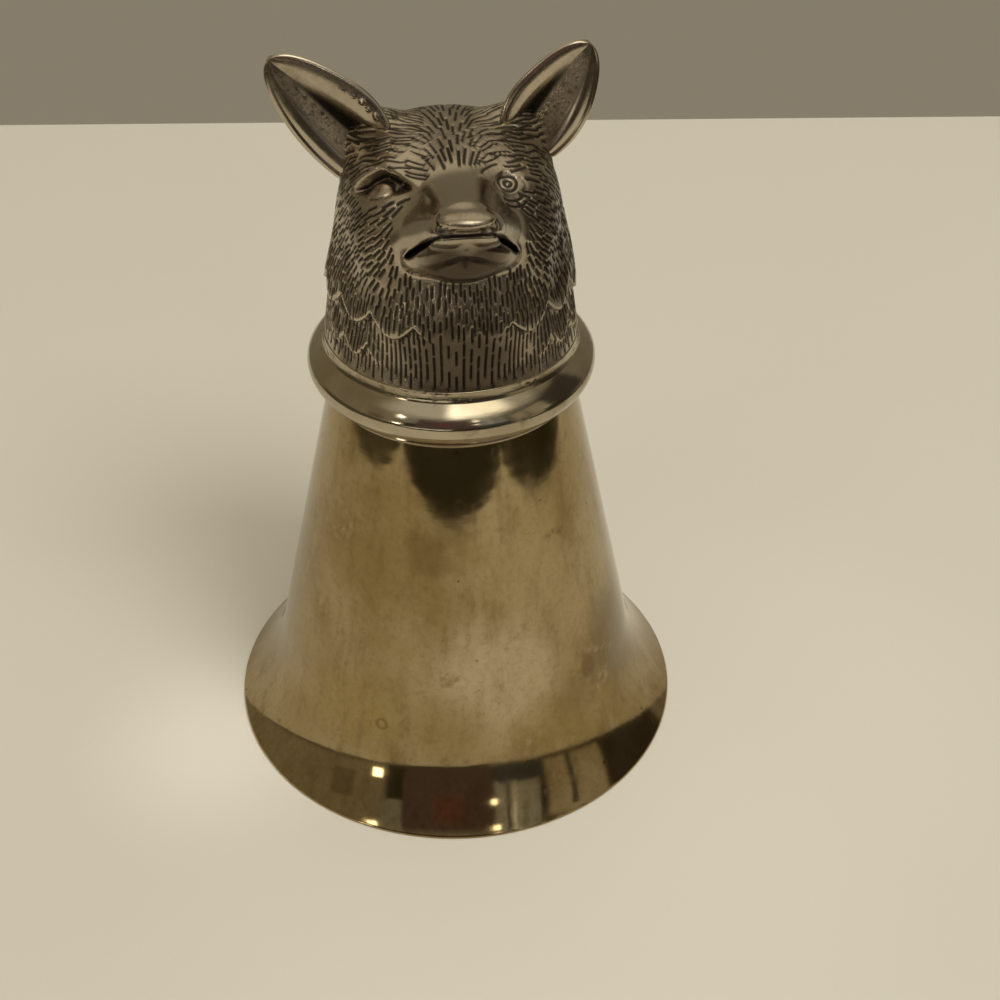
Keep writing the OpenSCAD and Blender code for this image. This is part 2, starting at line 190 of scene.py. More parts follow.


# %% [markdown]
# ## Old silver
#
# Silver goes yellow, then brown, where it is handled and left, and black in every groove that a cloth
# doesn't reach. So each finish starts from bright silver and lays over it: a warm bloom in broad patches,
# upright streaks where the cup was wiped, small specks, and black oxide in the recesses. Tarnish is also
# duller than bright metal, so the same masks raise the roughness. A few stains sit where the photograph has
# them: a ring left by a drop near the lip and a brown patch on the right. Broad clouds make the wall more
# golden or browner in places, and a pale cloud on the front is a painted reflection of a soft streak of
# light.

# %% Finishes of the cup, the collar and the solder
BRIGHT = tone(0.425, 0.338, 0.185)
YELLOWED = tone(0.29, 0.21, 0.087)
BROWNED = tone(0.17, 0.105, 0.042)
ROSY = tone(0.42, 0.30, 0.19)
OXIDE = tone(0.016, 0.012, 0.008)
RING_BRIGHT = tone(0.52, 0.455, 0.34)
RING_WARM = tone(0.36, 0.30, 0.195)
DROP_AT = (-12.7, -22.8, 13.7)
BROWN_AT = (17.4, -18.3, 17.7)
GOLDEN = tone(0.36, 0.26, 0.088)
# The colour of a painted reflection: a pale streak of light on the front of the cup
PAINTED_REFLECTION = tone(0.54, 0.445, 0.29)
# Each cloud: its middle in mm, its inner and outer radius, its colour and its strength
CLOUDS = [
    ((20.4, -16.8, 12.6), 1.5, 4.0, GOLDEN, 0.6),
    ((-16.3, -20.1, 14.7), 3, 8, GOLDEN, 0.55),
    ((22.6, -12.0, 18.0), 4, 13, tone(0.18, 0.128, 0.052), 0.85),
    ((-23.5, -12.0, 13.0), 4, 11, YELLOWED, 0.55),
    ((-8.5, -16.4, 48.5), 2, 8, YELLOWED, 0.6),
    ((-5.0, -19.6, 41.0), 1, 5, BROWNED, 0.45),
    ((15.2, -20.8, 15.2), 1, 6, BROWNED, 0.35),
    # Painted reflection: this pale cloud on the front stands for a soft streak of light on the wall
    ((4.0, -23.5, 22.0), 4, 13, PAINTED_REFLECTION, 0.8),
    ((-3.5, -25.5, 14.5), 1.5, 8, YELLOWED, 0.55)]


def spun_finish():
    finish = Finish("spun_silver")
    bloom = finish.ramp(finish.noise(20, 4.0, 0.6), 0.38, 0.60)
    bands = finish.ramp(finish.noise(7, 2.0, 0.5, (1, 1, 0.05)), 0.42, 0.62)
    streaks = finish.ramp(finish.noise(3.2, 5.0, 0.7, (1, 1, 0.09)), 0.44, 0.74)
    blush = finish.ramp(finish.noise(11, 3.0, 0.6), 0.53, 0.66)
    scuffs = finish.ramp(finish.noise(1.7, 5.0, 0.75), 0.50, 0.66) * blush
    stains = finish.ramp(finish.noise(6, 5.0, 0.7), 0.60, 0.72)
    specks = finish.specks(3.4, 0.09) * finish.ramp(finish.noise(9), 0.52, 0.62)
    drop = finish.spot(DROP_AT, 0.8, 1.1, 0.5) - finish.spot(DROP_AT, 0.4, 0.7, 0.5)
    brown = finish.spot(BROWN_AT, 1.2, 2.6, 3.2)
    warm = finish.mix(bloom * 0.75 + 0.22, BRIGHT, YELLOWED)
    banded = finish.mix(bands * 0.5, warm, BRIGHT)
    for at, inner, outer, colour, strength in CLOUDS:
        banded = finish.mix(finish.spot(at, inner, outer, 6) * strength, banded, colour)
    mottle = finish.ramp(finish.noise(1.0, 5.0, 0.75), 0.44, 0.68)
    wiped = finish.mix(streaks * 0.4 + mottle * 0.26, banded, BROWNED)
    rosy = finish.mix(scuffs * 0.75, wiped, ROSY)
    darkened = finish.mix(stains * 0.45 + brown * 0.6 + drop * 0.6, rosy, BROWNED)
    scratches = finish.noise(0.6, 2.0, 0.6, (0.1, 0.1, 1.2))
    dents = finish.noise(7, 2.0, 0.5)
    finish.set(Base_Color=finish.mix(specks * 0.85, darkened, OXIDE), Metallic=1.0)
    finish.set(Roughness=0.05 + bloom * 0.04 + streaks * 0.05 + scuffs * 0.08 + stains * 0.12 + brown * 0.2)
    finish.set(Normal=finish.bump(dents + scratches * 0.022 + streaks * 0.02, 0.06, 0.6))
    return finish.owner


def ring_finish(name, marked):
    finish = Finish(name)
    bloom = finish.ramp(finish.noise(9, 4.0), 0.36, 0.64)
    scratches = finish.noise(0.5, 2.0, 0.6, (0.15, 0.15, 1.0))
    warm = finish.mix(bloom * 0.7 + 0.15, RING_BRIGHT, RING_WARM)
    dark = finish.ramp(finish.noise(4, 4.0, 0.65), 0.58, 0.72) * 0.5
    if marked:
        cuts = finish.ramp(finish.noise(1, 4.0, 0.7, (90, 2.6, 1), "UV"), 0.54, 0.62)
        where = finish.ramp(finish.noise(6, 2.0), 0.46, 0.56)
        dark = dark + cuts * where * finish.attribute("foot") * 0.95
    finish.set(Base_Color=finish.mix(dark, warm, OXIDE), Metallic=1.0)
    finish.set(Roughness=0.10 + bloom * 0.06 + dark * 0.3)
    finish.set(Normal=finish.bump(scratches - dark, 0.02, 0.6))
    return finish.owner


spun_silver = spun_finish()
ring_silver = ring_finish("ring_silver", False)
filed_solder = ring_finish("filed_solder", True)
print("finishes:", spun_silver.name, ring_silver.name, filed_solder.name)

# %% [markdown]
# ## Pieces that are turned
#
# The cup was spun on a lathe, and the collar and solder go round it, so each is a profile turned about the
# Z axis. A profile is a closed loop of radius and height. The mesh is much finer than the CAD solid's,
# because polished metal shows every facet. A slow wobble of a few hundredths of a millimetre keeps the
# reflections from looking machine made.

# %% Turned pieces
def add_values(mesh, name, values):
    mesh.attributes.new(name, "FLOAT", "POINT").data.foreach_set("value", values.astype(np.float32))


def mesh_piece(name, points_mm, faces, finish, node):
    mesh = bpy.data.meshes.new(name)
    mesh.from_pydata((np.asarray(points_mm) * MM).tolist(), [], faces)
    mesh.polygons.foreach_set("use_smooth", np.ones(len(mesh.polygons), bool))
    mesh.materials.append(finish)
    piece = bpy.data.objects.new(name, mesh)
    bpy.context.scene.collection.objects.link(piece)
    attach(piece, "root")
    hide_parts(node)
    return piece


def grid_faces(rows, columns, close_rows, close_columns):
    row, column = np.meshgrid(
        np.arange(rows if close_rows else rows - 1),
        np.arange(columns if close_columns else columns - 1), indexing="ij")
    next_row = (row + 1) % rows
    next_column = (column + 1) % columns
    corners = [row * columns + column, row * columns + next_column,
               next_row * columns + next_column, next_row * columns + column]
    return np.stack(corners, -1).reshape(-1, 4)


def wobble(angle, height, depth):
    waves = np.sin(3 * angle + 0.09 * height) + 0.7 * np.sin(5 * angle - 0.13 * height + 1.0)
    return depth * (waves + 0.5 * np.sin(2 * angle + 0.31 * height + 2.0))


def turned(name, profile, steps, depth, finish, node):
    """Turn a closed profile of (radius, height); its points run from the top inside out and down."""
    profile = np.asarray(profile, float)
    angle = np.linspace(0, 2 * math.pi, steps, endpoint=False)
    radius = profile[None, :, 0] + np.zeros((steps, 1))
    height = profile[None, :, 1] + np.zeros((steps, 1))
    radius = radius + wobble(angle[:, None], height, depth) * (radius > 1)
    points = np.stack([radius * np.cos(angle)[:, None], radius * np.sin(angle)[:, None], height], -1)
    faces = grid_faces(steps, len(profile), True, True)
    piece = mesh_piece(name, points.reshape(-1, 3), faces.tolist(), finish, node)
    along = np.concatenate([[0], np.cumsum(np.linalg.norm(np.diff(profile, axis=0), axis=1))])
    layer = piece.data.uv_layers.new(name="round_and_along")
    columns = len(profile)
    around = faces // columns / steps
    around[(around == 0) & (around.max(1, keepdims=True) > 0.5)] = 1.0
    layer.data.foreach_set("uv", np.stack([around, along[faces % columns]], -1).ravel())
    return piece


def arc(centre, radii, start, end, steps):
    angle = np.radians(np.linspace(start, end, steps))
    return np.stack([centre[0] + radii[0] * np.cos(angle), centre[1] + radii[1] * np.sin(angle)], -1)


def bend(a, b, c, steps):
    t = np.linspace(0, 1, steps)[:, None]
    return (1 - t) ** 2 * np.array(a) + 2 * t * (1 - t) * np.array(b) + t ** 2 * np.array(c)


# %% [markdown]
# ## The cup
#
# The sizes are the solid's own: a straight cone from the closed end, then a flare that runs out to the lip.
# The wall keeps its thickness where it leans, and its thin edge is rounded so that it catches the light.

# %% Cup shell
LIP_R = 33.5
LIP_EDGE = 0.35
EDGE_ROUND = 0.14
CUP_END_R = 15.5
CUP_H = 62.0
FLARE_H = 14.0
CONE_R = CUP_END_R + 10.55
CONE_SLOPE = (CONE_R - CUP_END_R) / (CUP_H - FLARE_H)
WALL = 0.9
FLARE_PULL = 0.6


def cup_profile():
    handle = (CONE_R + CONE_SLOPE * FLARE_PULL * FLARE_H, FLARE_H * (1 - FLARE_PULL))
    cone = np.stack([np.linspace(CUP_END_R, CONE_R, 60), np.linspace(CUP_H, FLARE_H, 60)], -1)
    flare = bend((CONE_R, FLARE_H), handle, (LIP_R, LIP_EDGE), 60)[1:]
    outer = np.concatenate([cone, flare])
    run = np.gradient(outer, axis=0)
    lean = np.sqrt(1 + (run[:, 0] / run[:, 1]) ** 2)
    inner = (outer - np.stack([WALL * lean, np.zeros(len(outer))], -1))[::-1]
    edge_in = (LIP_R - EDGE_ROUND, EDGE_ROUND)
    edge = np.concatenate([arc(edge_in, (EDGE_ROUND, EDGE_ROUND), 0, -90, 5), [(inner[0, 0], 0)]])
    floor = CUP_H - WALL
    crown = [(0.01, CUP_H), (CUP_END_R - 0.6, CUP_H), (CUP_END_R - 0.2, CUP_H - 0.05)]
    inside = inner[inner[:, 1] < floor]
    return np.concatenate([crown, outer[1:], edge, inside, [(CUP_END_R - WALL, floor), (0.01, floor)]])


cup = turned("cup_bell", cup_profile(), 360, 0.012, spun_silver, "cup_shell")
print("cup bell faces:", len(cup.data.polygons))

# %% [markdown]
# ## Collar and its solder
#
# The collar is a half-round ring. Above it the silversmith ran a fillet of solder up to the neck and filed
# it to a cove that flows into the ring, and the file left dark marks along the foot of the fur. Below it a
# thin bead closes the joint.

# %% Collar ring and solder fillets
COLLAR_TOP = 62.4
COLLAR_H = 5.0
NECK_R = 17.2
COLLAR_ROOT = NECK_R - 0.3
SOLDER = 0.06
SEAT = COLLAR_TOP + SOLDER
COVE_H = 2.6
NECK_TAPER = 0.155
BEAD_H = 0.9


def cup_r(height):
    return CUP_END_R + CONE_SLOPE * (CUP_H - height)


def rolled(start, turns, steps):
    """Follow a profile out and down from its start, given its tilt in degrees at lengths along it."""
    length = np.linspace(0, turns[-1][0], steps)
    tilt = np.radians(np.interp(length, *zip(*turns)))
    step = length[1] * np.stack([np.sin(tilt), -np.cos(tilt)], -1)
    return np.array(start) + np.cumsum(step, axis=0)


def collar_profile():
    low = COLLAR_TOP - COLLAR_H
    tilts = ((0, 56), (2.1, 46), (3.3, 35), (4.4, 6), (6.1, -30), (7.9, -62))
    roll = rolled((NECK_R - 0.75, COLLAR_TOP + 1.65), tilts, 90)
    roll = roll[roll[:, 1] > low]
    return np.concatenate([[(cup_r(COLLAR_TOP) + SOLDER, COLLAR_TOP)], roll, [(cup_r(low) + SOLDER, low)]])


def cove_profile():
    neck = NECK_R - NECK_TAPER * COVE_H + 0.08
    foot = (neck + 0.42, SEAT + 0.86)
    turn = bend((neck, SEAT + COVE_H), (neck + 0.09, SEAT + 1.16), foot, 24)
    buried = np.linspace(foot, (neck + 0.74, SEAT + 0.5), 8)[1:]
    return np.concatenate([[(neck - 0.4, SEAT + COVE_H - 0.05)], turn, buried, [(NECK_R - 0.6, SEAT)]])


def bead_profile():
    low = COLLAR_TOP - COLLAR_H
    out = (COLLAR_ROOT + 0.8, low + 0.25)
    foot = (cup_r(low - BEAD_H) + 0.03, low - BEAD_H)
    hollow_side = bend(out, (cup_r(low) + 0.35, low - 0.2), foot, 10)
    return np.concatenate([[(cup_r(low) - 0.3, low + 0.2)], hollow_side])


collar = turned("collar_half_round", collar_profile(), 360, 0.012, ring_silver, "collar_ring")
cove = turned("neck_solder_cove", cove_profile(), 360, 0.012, filed_solder, "neck_solder")
bead = turned("cup_solder_bead", bead_profile(), 256, 0.01, filed_solder, "cup_solder")
for piece, lowest in ((cove, SEAT + 0.7), (bead, COLLAR_TOP)):
    heights = np.array([v.co.z for v in piece.data.vertices]) / MM
    add_values(piece.data, "foot", np.clip((heights - lowest) / 0.8, 0, 1))
print("collar faces:", len(collar.data.polygons))

# %% [markdown]
# ## The head as one formula
#
# The head could be sculpted by hand, but a formula keeps it on the same sizes as the solid. Each form is a
# distance: negative inside, positive outside. A soft minimum joins two forms with a rounded crease, and a
# soft maximum cuts one out of another. Heights are above the head's seat on the collar, and the forms are
# written for the right half, because all of the head but its eyes is alike on both sides.

# %% Blends and distances
def soft_min(a, b, k):
    h = np.maximum(k - np.abs(a - b), 0) / k
    return np.minimum(a, b) - h * h * k / 4


def soft_max(a, b, k):
    return -soft_min(-a, -b, k)


def ramp(span, t):
    u = np.clip((t - span[0]) / (span[1] - span[0]), 0, 1)
    return u * u * (3 - 2 * u)


def ball(p, centre, size):
    q = (p - np.array(centre)) / np.array(size)
    reach = np.linalg.norm(q, axis=-1) + 1e-9
    return reach * (reach - 1) / (np.linalg.norm(q / np.array(size), axis=-1) + 1e-9)


def rod(p, ends, radii, flat=1.0):
    a, b = (np.array(end, float) for end in ends)
    t = np.clip((p - a) @ (b - a) / ((b - a) @ (b - a)), 0, 1)
    q = (p - a - t[..., None] * (b - a)) * np.array((flat, 1, 1))
    return np.linalg.norm(q, axis=-1) - radii[0] - (radii[1] - radii[0]) * t


def cut(field, shape, depth, k):
    """Carve a groove: shape is negative inside it."""
    return soft_max(field, np.minimum(field + depth, -shape), k)


def right_half(p):
    return np.concatenate([np.abs(p[..., :1]), p[..., 1:]], -1)


# %% [markdown]
# ## Skull, cheeks and ruff
#
# The neck is a cone that turns into a dome. Cheeks and a bib of throat fur swell from it. A row of rounded
# tufts runs round the neck under the cheeks and a short row of small ones below it, each with a crisp edge.

# %% Soft forms
CROWN_H = 30.3
DOME_START = 14.6
DOME_POWER = 3.6
DOME_TURN = DOME_START - 1
EAR_GAP = 20.0
EAR_H = 27.2
EAR_BACK = 3.0
PLAIN_BAND = COVE_H + 0.2
TUFT_STEP = 0.25


def skull(p):
    height = p[..., 2]
    neck = NECK_R - NECK_TAPER * np.minimum(height, DOME_TURN) - 0.12 * np.maximum(height - DOME_TURN, 0)
    across = np.linalg.norm(p[..., :2], axis=-1) / neck
    up = np.maximum(height - DOME_START, 0) / (CROWN_H - DOME_START)
    return ((across ** DOME_POWER + up ** DOME_POWER) ** (1 / DOME_POWER) - 1) * neck


def turn_of(p):
    return np.degrees(np.arctan2(p[..., 0], -p[..., 1]))


def tuft_edges(turn):
    upper = 11.9 - 2.4 * np.abs(np.sin(np.radians((turn - 20) * 180 / 22)))
    lower = 6.9 - 1.9 * np.abs(np.sin(np.radians(turn * 180 / 15)))
    return upper, lower


def tuft_row(height, fade_h):
    return ramp((-TUFT_STEP, TUFT_STEP), height) * (1 - ramp((TUFT_STEP, fade_h), height))


def ruff(p):
    turn = turn_of(p)
    upper, lower = tuft_edges(turn)
    height = p[..., 2]
    rows = 0.7 * tuft_row(height - upper, 9) * ramp((10, 20), turn)
    rows = rows + 0.4 * tuft_row(height - lower, 4) * ramp((34, 44), turn) * (1 - ramp((70, 80), turn))
    return rows * (1 - ramp((100, 125), turn)) * ramp((PLAIN_BAND, PLAIN_BAND + 2), height)


def soft_forms(p):
    field = soft_min(skull(p), ball(p, (EAR_GAP / 2 - 1.2, EAR_BACK + 1.4, EAR_H - 1.4), (4.2, 4, 5)), 2.5)
    bib = ball(p, (0, -7.7, 9.6), (9.5, 9.6, 13))
    bib = bib + 4 * (1 - ramp((PLAIN_BAND - 4, PLAIN_BAND + 9), p[..., 2]))
    field = soft_min(field, bib, 4)
    field = soft_min(field, ball(p, (6.6, -8, 20.1), (5.4, 5.8, 7)), 3)
    return field - ruff(p)


# %% [markdown]
# ## Muzzle and mouth
#
# The muzzle is polished and has no fur. The upper lip is a tapered rod, the lower lip bends round the front
# of the jaw, and the nose is a flat pad with a slit under it and a hole at each side. The mouth is a thin
# line in front and falls back to a gash at each corner. Its formula is a sloping plane, so it is shut off
# behind the corners, or it would cut the back of the neck too.

# %% Muzzle
NOSE_H = 29.6
NOSE_REACH = 21.8
NOSE = np.array((0, -NOSE_REACH, NOSE_H))
PAD = NOSE + (0, 0.1, -0.65)
MOUTH_W = 14.6
MOUTH_ENDS = (-9, -6)


def muzzle(p):
    bridge = rod(p, ((0, -7, NOSE_H - 5.6), NOSE + (0, 2.2, -2.2)), (5.2, 2.7), 0.78)
    lip_ends = ((MOUTH_W / 2 - 1.6, -12.2, NOSE_H - 7.3), NOSE + (2.5, 1.3, -2.5))
    return soft_min(bridge, rod(p, lip_ends, (2.5, 1.6)), 1.7)


def chin(p):
    lip_bend = (4.2, -17.8, NOSE_H - 6.6)
    front = rod(p, (NOSE + (0, 1.5, -4.6), lip_bend), (1.5, 1.5))
    side = rod(p, (lip_bend, (MOUTH_W / 2 - 1.2, -12, NOSE_H - 10.6)), (1.5, 1.8))
    return soft_min(ball(p, (0, -13.2, NOSE_H - 8.6), (6, 6.2, 3.6)), np.minimum(front, side), 2.4)


def mouth(p):
    side = p[..., 0]
    line = NOSE_H - 1.8 - 0.62 * (p[..., 1] + NOSE_REACH + 1.2) - 2.0 * ramp((2.5, 7.3), side)
    half = 0.04 + 0.28 * ramp((3.0, 5.6), side) - 1.1 * ramp((MOUTH_W / 2 - 1.2, MOUTH_W / 2 + 0.2), side)
    half = half - 2 * ramp(MOUTH_ENDS, p[..., 1])
    return np.abs(p[..., 2] - line) * 0.83 - half


def nose_slit(p):
    side = p[..., 0]
    height = p[..., 2] - PAD[2] + 0.62 - 0.03 * side ** 2
    return np.maximum(np.abs(height) - 0.14, np.maximum(side - 3.2, p[..., 1] + NOSE_REACH - 0.9))


# %% [markdown]
# ## Eyes
#
# The two eyes differ: the left one lies deep under a peaked brow, and the right one is shallow and round.
# Each is a change of height in its own directions on the face: along it, and up to the brow.

# %% Eyes and the whole head
LEFT_EYE = {"at": (9.3, -8.6, 26.6), "half": 5.2, "over": 2.4, "under": 2.0, "depth": 1.2, "brow": 0.3}
RIGHT_EYE = {"at": (6.1, -10.4, 27.2), "half": 2.9, "over": 1.6, "under": 1.7, "depth": 0.3, "brow": 0.05}
EYE_ALONG = np.array((0.735, 0.598, -0.31))
EYE_OUT = np.array((0.613, -0.445, 0.594))
EYE_UP = np.cross(EYE_OUT, EYE_ALONG)


def eye_place(p, eye):
    away = p - np.array(eye["at"])
    return away @ EYE_ALONG, away @ EYE_UP, np.linalg.norm(away, axis=-1)


def eye_sink(p, eye):
    along, up, far = eye_place(p, eye)
    end = np.abs(along) / eye["half"]
    s = np.minimum(end, 1)
    over = up - eye["over"] * (1 - s ** 1.3)
    under = up + eye["under"] * (1 - s * s)
    hollow = (1 - ramp((-0.6, 0.25), over)) * ramp((0, 2.4), under) * (1 - ramp((0.85, 1), s))
    brow = ramp((-0.1, 0.5), over) * (1 - ramp((0.6, 2.2), over)) * (1 - ramp((0.7, 1.2), end))
    bulge = np.clip(1 - (along / 1.9) ** 2 - (up / 1.35) ** 2, 0, 1) ** 0.6
    sink = eye["depth"] * hollow - eye["brow"] * brow - 0.6 * eye["depth"] * bulge
    return sink * (1 - ramp((5.5, 6.5), far))


def head_field(p):
    q = right_half(p)
    field = soft_min(soft_forms(q), muzzle(q), 1.6)
    field = soft_min(field, chin(q), 0.5)
    field = soft_min(field, ball(q, PAD, (3.3, 1.9, 0.95)), 0.4)
    field = field + np.where(p[..., 0] < 0, eye_sink(q, LEFT_EYE), eye_sink(q, RIGHT_EYE))
    field = cut(field, mouth(q), 0.4 + 0.6 * ramp((2.5, 5.2), q[..., 0]), 0.6)
    field = cut(field, nose_slit(q), 0.6, 0.2)
    return soft_max(field, -ball(q, PAD + (2.6, -0.8, -1.1), (1.0, 1.2, 0.7)), 0.4)


def unit(v):
    return v / (np.linalg.norm(v, axis=-1, keepdims=True) + 1e-9)


def head_slope(p, step=0.02):
    shifts = np.eye(3) * step
    return unit(np.stack([head_field(p + s) - head_field(p - s) for s in shifts], -1))


print("distance at the nose:", round(float(head_field(NOSE[None])[0]), 2), "mm")

# %% [markdown]
# ## The head's surface
#
# Rays run out from the neck's axis, level at first and then fanned up over the face, and each one is followed
# inwards until it meets the surface. The rays lie closest together on the face, where the finest work is.

# %% Head surface
FAN_FROM = np.array((0, -2, 16.4))
NECK_ROWS = 56
# Each band runs from one angle to another, in degrees, in so many steps
TURN_BANDS = ((0, 25, 56), (25, 65, 80), (65, 110, 62), (110, 180, 76))
RISE_BANDS = ((0, 8, 8), (8, 40, 66), (40, 58, 26), (58, 88, 22))
RAY_START = 34.0
RAY_STEPS = 40


def spread(bands):
    return np.concatenate([[bands[0][0]]] + [np.linspace(a, b, n + 1)[1:] for a, b, n in bands])


def head_points():
    half = spread(TURN_BANDS)
    turns = np.radians(np.concatenate([half, 360 - half[-2:0:-1]]))
    rises = np.radians(np.concatenate([np.zeros(NECK_ROWS), spread(RISE_BANDS)]))
    lift = np.minimum(1, np.arange(len(rises)) / NECK_ROWS)
    start = np.repeat((FAN_FROM * lift[:, None])[:, None], len(turns), 1)
    level = np.cos(rises)[:, None]
    ray = np.stack([np.sin(turns) * level, -np.cos(turns) * level, np.sin(rises)[:, None] + 0 * turns], -1)
    far = np.full(ray.shape[:2], RAY_START)
    for step in range(RAY_STEPS):
        far = far - 0.8 * head_field(start + far[..., None] * ray)
    return start + far[..., None] * ray


surface = head_points()
rows, columns = surface.shape[:2]
top = np.array((0, FAN_FROM[1], surface[-1, :, 2].mean()))
head_xyz = np.concatenate([surface.reshape(-1, 3), [top]])
band = grid_faces(rows, columns, False, True).tolist()
last = (rows - 1) * columns
cap = [(last + i, last + (i + 1) % columns, rows * columns) for i in range(columns)]
head_normals = head_slope(head_xyz)
print("head points:", len(head_xyz), "triangles:", 2 * len(band) + len(cap))

# %% [markdown]
# ## Where the fur lies
#
# A chaser cuts fur with short strokes of a graver that follow the way the coat lies: in straight columns
# down the neck, out and down over the cheeks, back over the middle of the forehead, and in long waves from
# there out to the ears. The muzzle, chin and eyes are left smooth.

# %% Lie of the fur
FRONT_COLUMNS = 3.1
SIDE_COLUMNS = 2.3
ROW_PITCH = 2.5
NAPE_FROM = 100
SMOOTH_BROW = np.array((-5.6, -6.4, 29.3))


def on_forehead(p):
    return ramp((25.5, 28.5), p[:, 2]) * (1 - ramp((6, 10), p[:, 1]))


def on_neck(p):
    return 1 - ramp((9.5, 12), p[:, 2])


def fur_lie(p, normal):
    side = np.sign(p[:, :1])
    out = np.abs(p[:, 0])
    turn = np.abs(turn_of(p))
    cheek = ramp((22, 45), turn) * (1 - ramp((95, 120), turn)) * ramp((11, 19), p[:, 2])
    back = 0.95 * side * np.array((1, 0, 0)) + np.array((0, 0.7, 0))
    lie = np.array((0, 0, -1.0)) + cheek[:, None] * back
    sweep = ramp((2.6, 5.5), out)[:, None]
    wave = 0.45 * np.sin(2.3 * out + 0.5 * p[:, 1])[:, None]
    middle = np.array((0, 1, 0.4)) + side * (out / 7)[:, None] * np.array((1, 0, 0))
    outward = side * np.array((1.4, 0, 0)) + np.array((0, 0.6, 0.2)) + wave * np.array((0, 1, 0.3))
    forehead = (1 - sweep) * middle + sweep * outward
    brow = on_forehead(p)[:, None]
    lie = lie * (1 - brow) + forehead * brow
    return unit(lie - np.sum(lie * normal, -1, keepdims=True) * normal)


def fur_cover(p):
    q = right_half(p)
    smooth = np.minimum(np.minimum(muzzle(q), chin(q)), ball(q, PAD, (3.3, 1.9, 0.95)))
    cover = ramp((0.5, 0.8), smooth) * ramp((PLAIN_BAND + 0.6, PLAIN_BAND + 1.2), p[:, 2])
    for eye, side in ((LEFT_EYE, -1), (RIGHT_EYE, 1)):
        along, up, far = eye_place(q, eye)
        s = np.minimum(np.abs(along) / (eye["half"] + 0.4), 1)
        below_brow = up < (eye["over"] + 0.9) * (1 - s ** 1.3) + 0.3
        above_lid = up > -(eye["under"] + 0.2) * (1 - s * s)
        here = (far < 6) & (p[:, 0] * side > 0) & (s < 1)
        cover = cover * ~(below_brow & above_lid & here)
    turn = np.abs(turn_of(p))
    edge = p[:, 2] - tuft_edges(turn)[0]
    row = ramp((10, 20), turn) * (1 - ramp((100, 120), turn))
    cover = cover * (1 - row * ramp((-0.4, 0), edge) * (1 - ramp((0.9, 1.3), edge)))
    return cover * ramp((1.3, 1.9), np.linalg.norm(p - SMOOTH_BROW, axis=-1))


def settle(p):
    for step in range(3):
        p = p - head_field(p)[:, None] * head_slope(p)
    return p


# %% [markdown]
# ## Placing the strokes
#
# Strokes are placed one at a time, each kept clear of those before it by a long thin ellipse, so they stagger
# as hand-cut rows do. On the neck they first move to the nearest column and row, and on the nape, which has
# coarser work, they stand further apart. Each one is then followed along the fur both ways from its middle,
# so that long strokes bend with the coat and stay on the surface.

# %% Strokes of the fur
STROKE_SEED = 7
STROKE_TRIES = 40000
STROKE_MOST = 8000
HALF_STEPS = 2


def stroke_size(p):
    neck, brow = on_neck(p), on_forehead(p)
    cheek = (1 - neck) * (1 - brow)
    front = 1 - ramp((12, 24), np.abs(turn_of(p)))
    nape = ramp((NAPE_FROM, NAPE_FROM + 15), np.abs(turn_of(p))) * (1 - brow)
    pitch = (0.6 + 0.2 * front) * neck + 0.52 * cheek + 0.58 * brow + 0.36 * nape
    return 2.1 * neck + 1.5 * cheek + 2.8 * brow + 0.7 * nape, pitch


def candidates(chance):
    patch = np.cross(np.gradient(surface, axis=0), np.gradient(surface, axis=1))
    weight = fur_cover(head_xyz)[:-1] * np.linalg.norm(patch, axis=-1).ravel()
    tries = head_xyz[chance.choice(len(weight), STROKE_TRIES, p=weight / weight.sum())]
    turn = turn_of(tries)
    column = np.where(np.abs(turn) < 18, FRONT_COLUMNS, SIDE_COLUMNS)
    count = np.round(turn / column)
    low = (tries[:, 2] < 10) & (np.abs(turn) < NAPE_FROM)
    shift = np.radians((count * column - turn) * low)
    x = tries[:, 0] * np.cos(shift) - tries[:, 1] * np.sin(shift)
    y = tries[:, 0] * np.sin(shift) + tries[:, 1] * np.cos(shift)
    offset = ROW_PITCH * (0.5 * (count % 2) + 0.12 * np.sin(7 * count)) + 1.6
    row = np.round((tries[:, 2] - offset) / ROW_PITCH) * ROW_PITCH + offset
    height = np.where(low & (row > PLAIN_BAND + 1.2), row, tries[:, 2])
    return settle(np.stack([x, y, height], -1))


def place_strokes():
    chance = np.random.default_rng(STROKE_SEED)
    tries = candidates(chance)
    lies = fur_lie(tries, head_slope(tries))
    lengths, pitches = stroke_size(tries)
    kept = np.zeros(STROKE_MOST, int)
    count = 0
    for i in range(len(tries)):
        others = kept[:count]
        gap = tries[others] - tries[i]
        along = np.abs(gap @ lies[i])
        square = np.sum(gap * gap, -1) - along * along
        if np.any((along / (1.12 * lengths[i])) ** 2 + square / pitches[i] ** 2 < 1):
            continue
        kept[count] = i
        count += 1
        if count == STROKE_MOST:
            break
    return tries[kept[:count]], lengths[kept[:count]] * chance.uniform(0.8, 1.1, count)


def follow(middle, lengths):
    step = (lengths / (2 * HALF_STEPS))[:, None]
    ways = []
    for way in (-1, 1):
        p = middle
        for i in range(HALF_STEPS):
            beyond = settle(p + way * step * fur_lie(p, head_slope(p)))
            ways.append((p, beyond))
            p = beyond
    return np.concatenate([a for a, b in ways]), np.concatenate([b for a, b in ways])


stroke_middle, stroke_length = place_strokes()
fur_from, fur_to = follow(stroke_middle, stroke_length)
print("graver strokes:", len(stroke_middle))

# %% [markdown]
# ## Lines round the eyes
#
# The graver also drew the eyes: two rings on the right one, two short lines under it, and a lid over the
# left. A line is drawn flat in the eye's own directions and then settled onto the face.

# %% Eye lines
def eye_line(eye, side, centre, radii, start, end, steps):
    angle = np.radians(np.linspace(start, end, steps))
    along = (centre[0] + radii[0] * np.cos(angle))[:, None]
    up = (centre[1] + radii[1] * np.sin(angle))[:, None]
    p = np.array(eye["at"]) + along * EYE_ALONG + up * EYE_UP
    p = settle(p * np.array((side, 1, 1)))
    return p[:-1], p[1:]


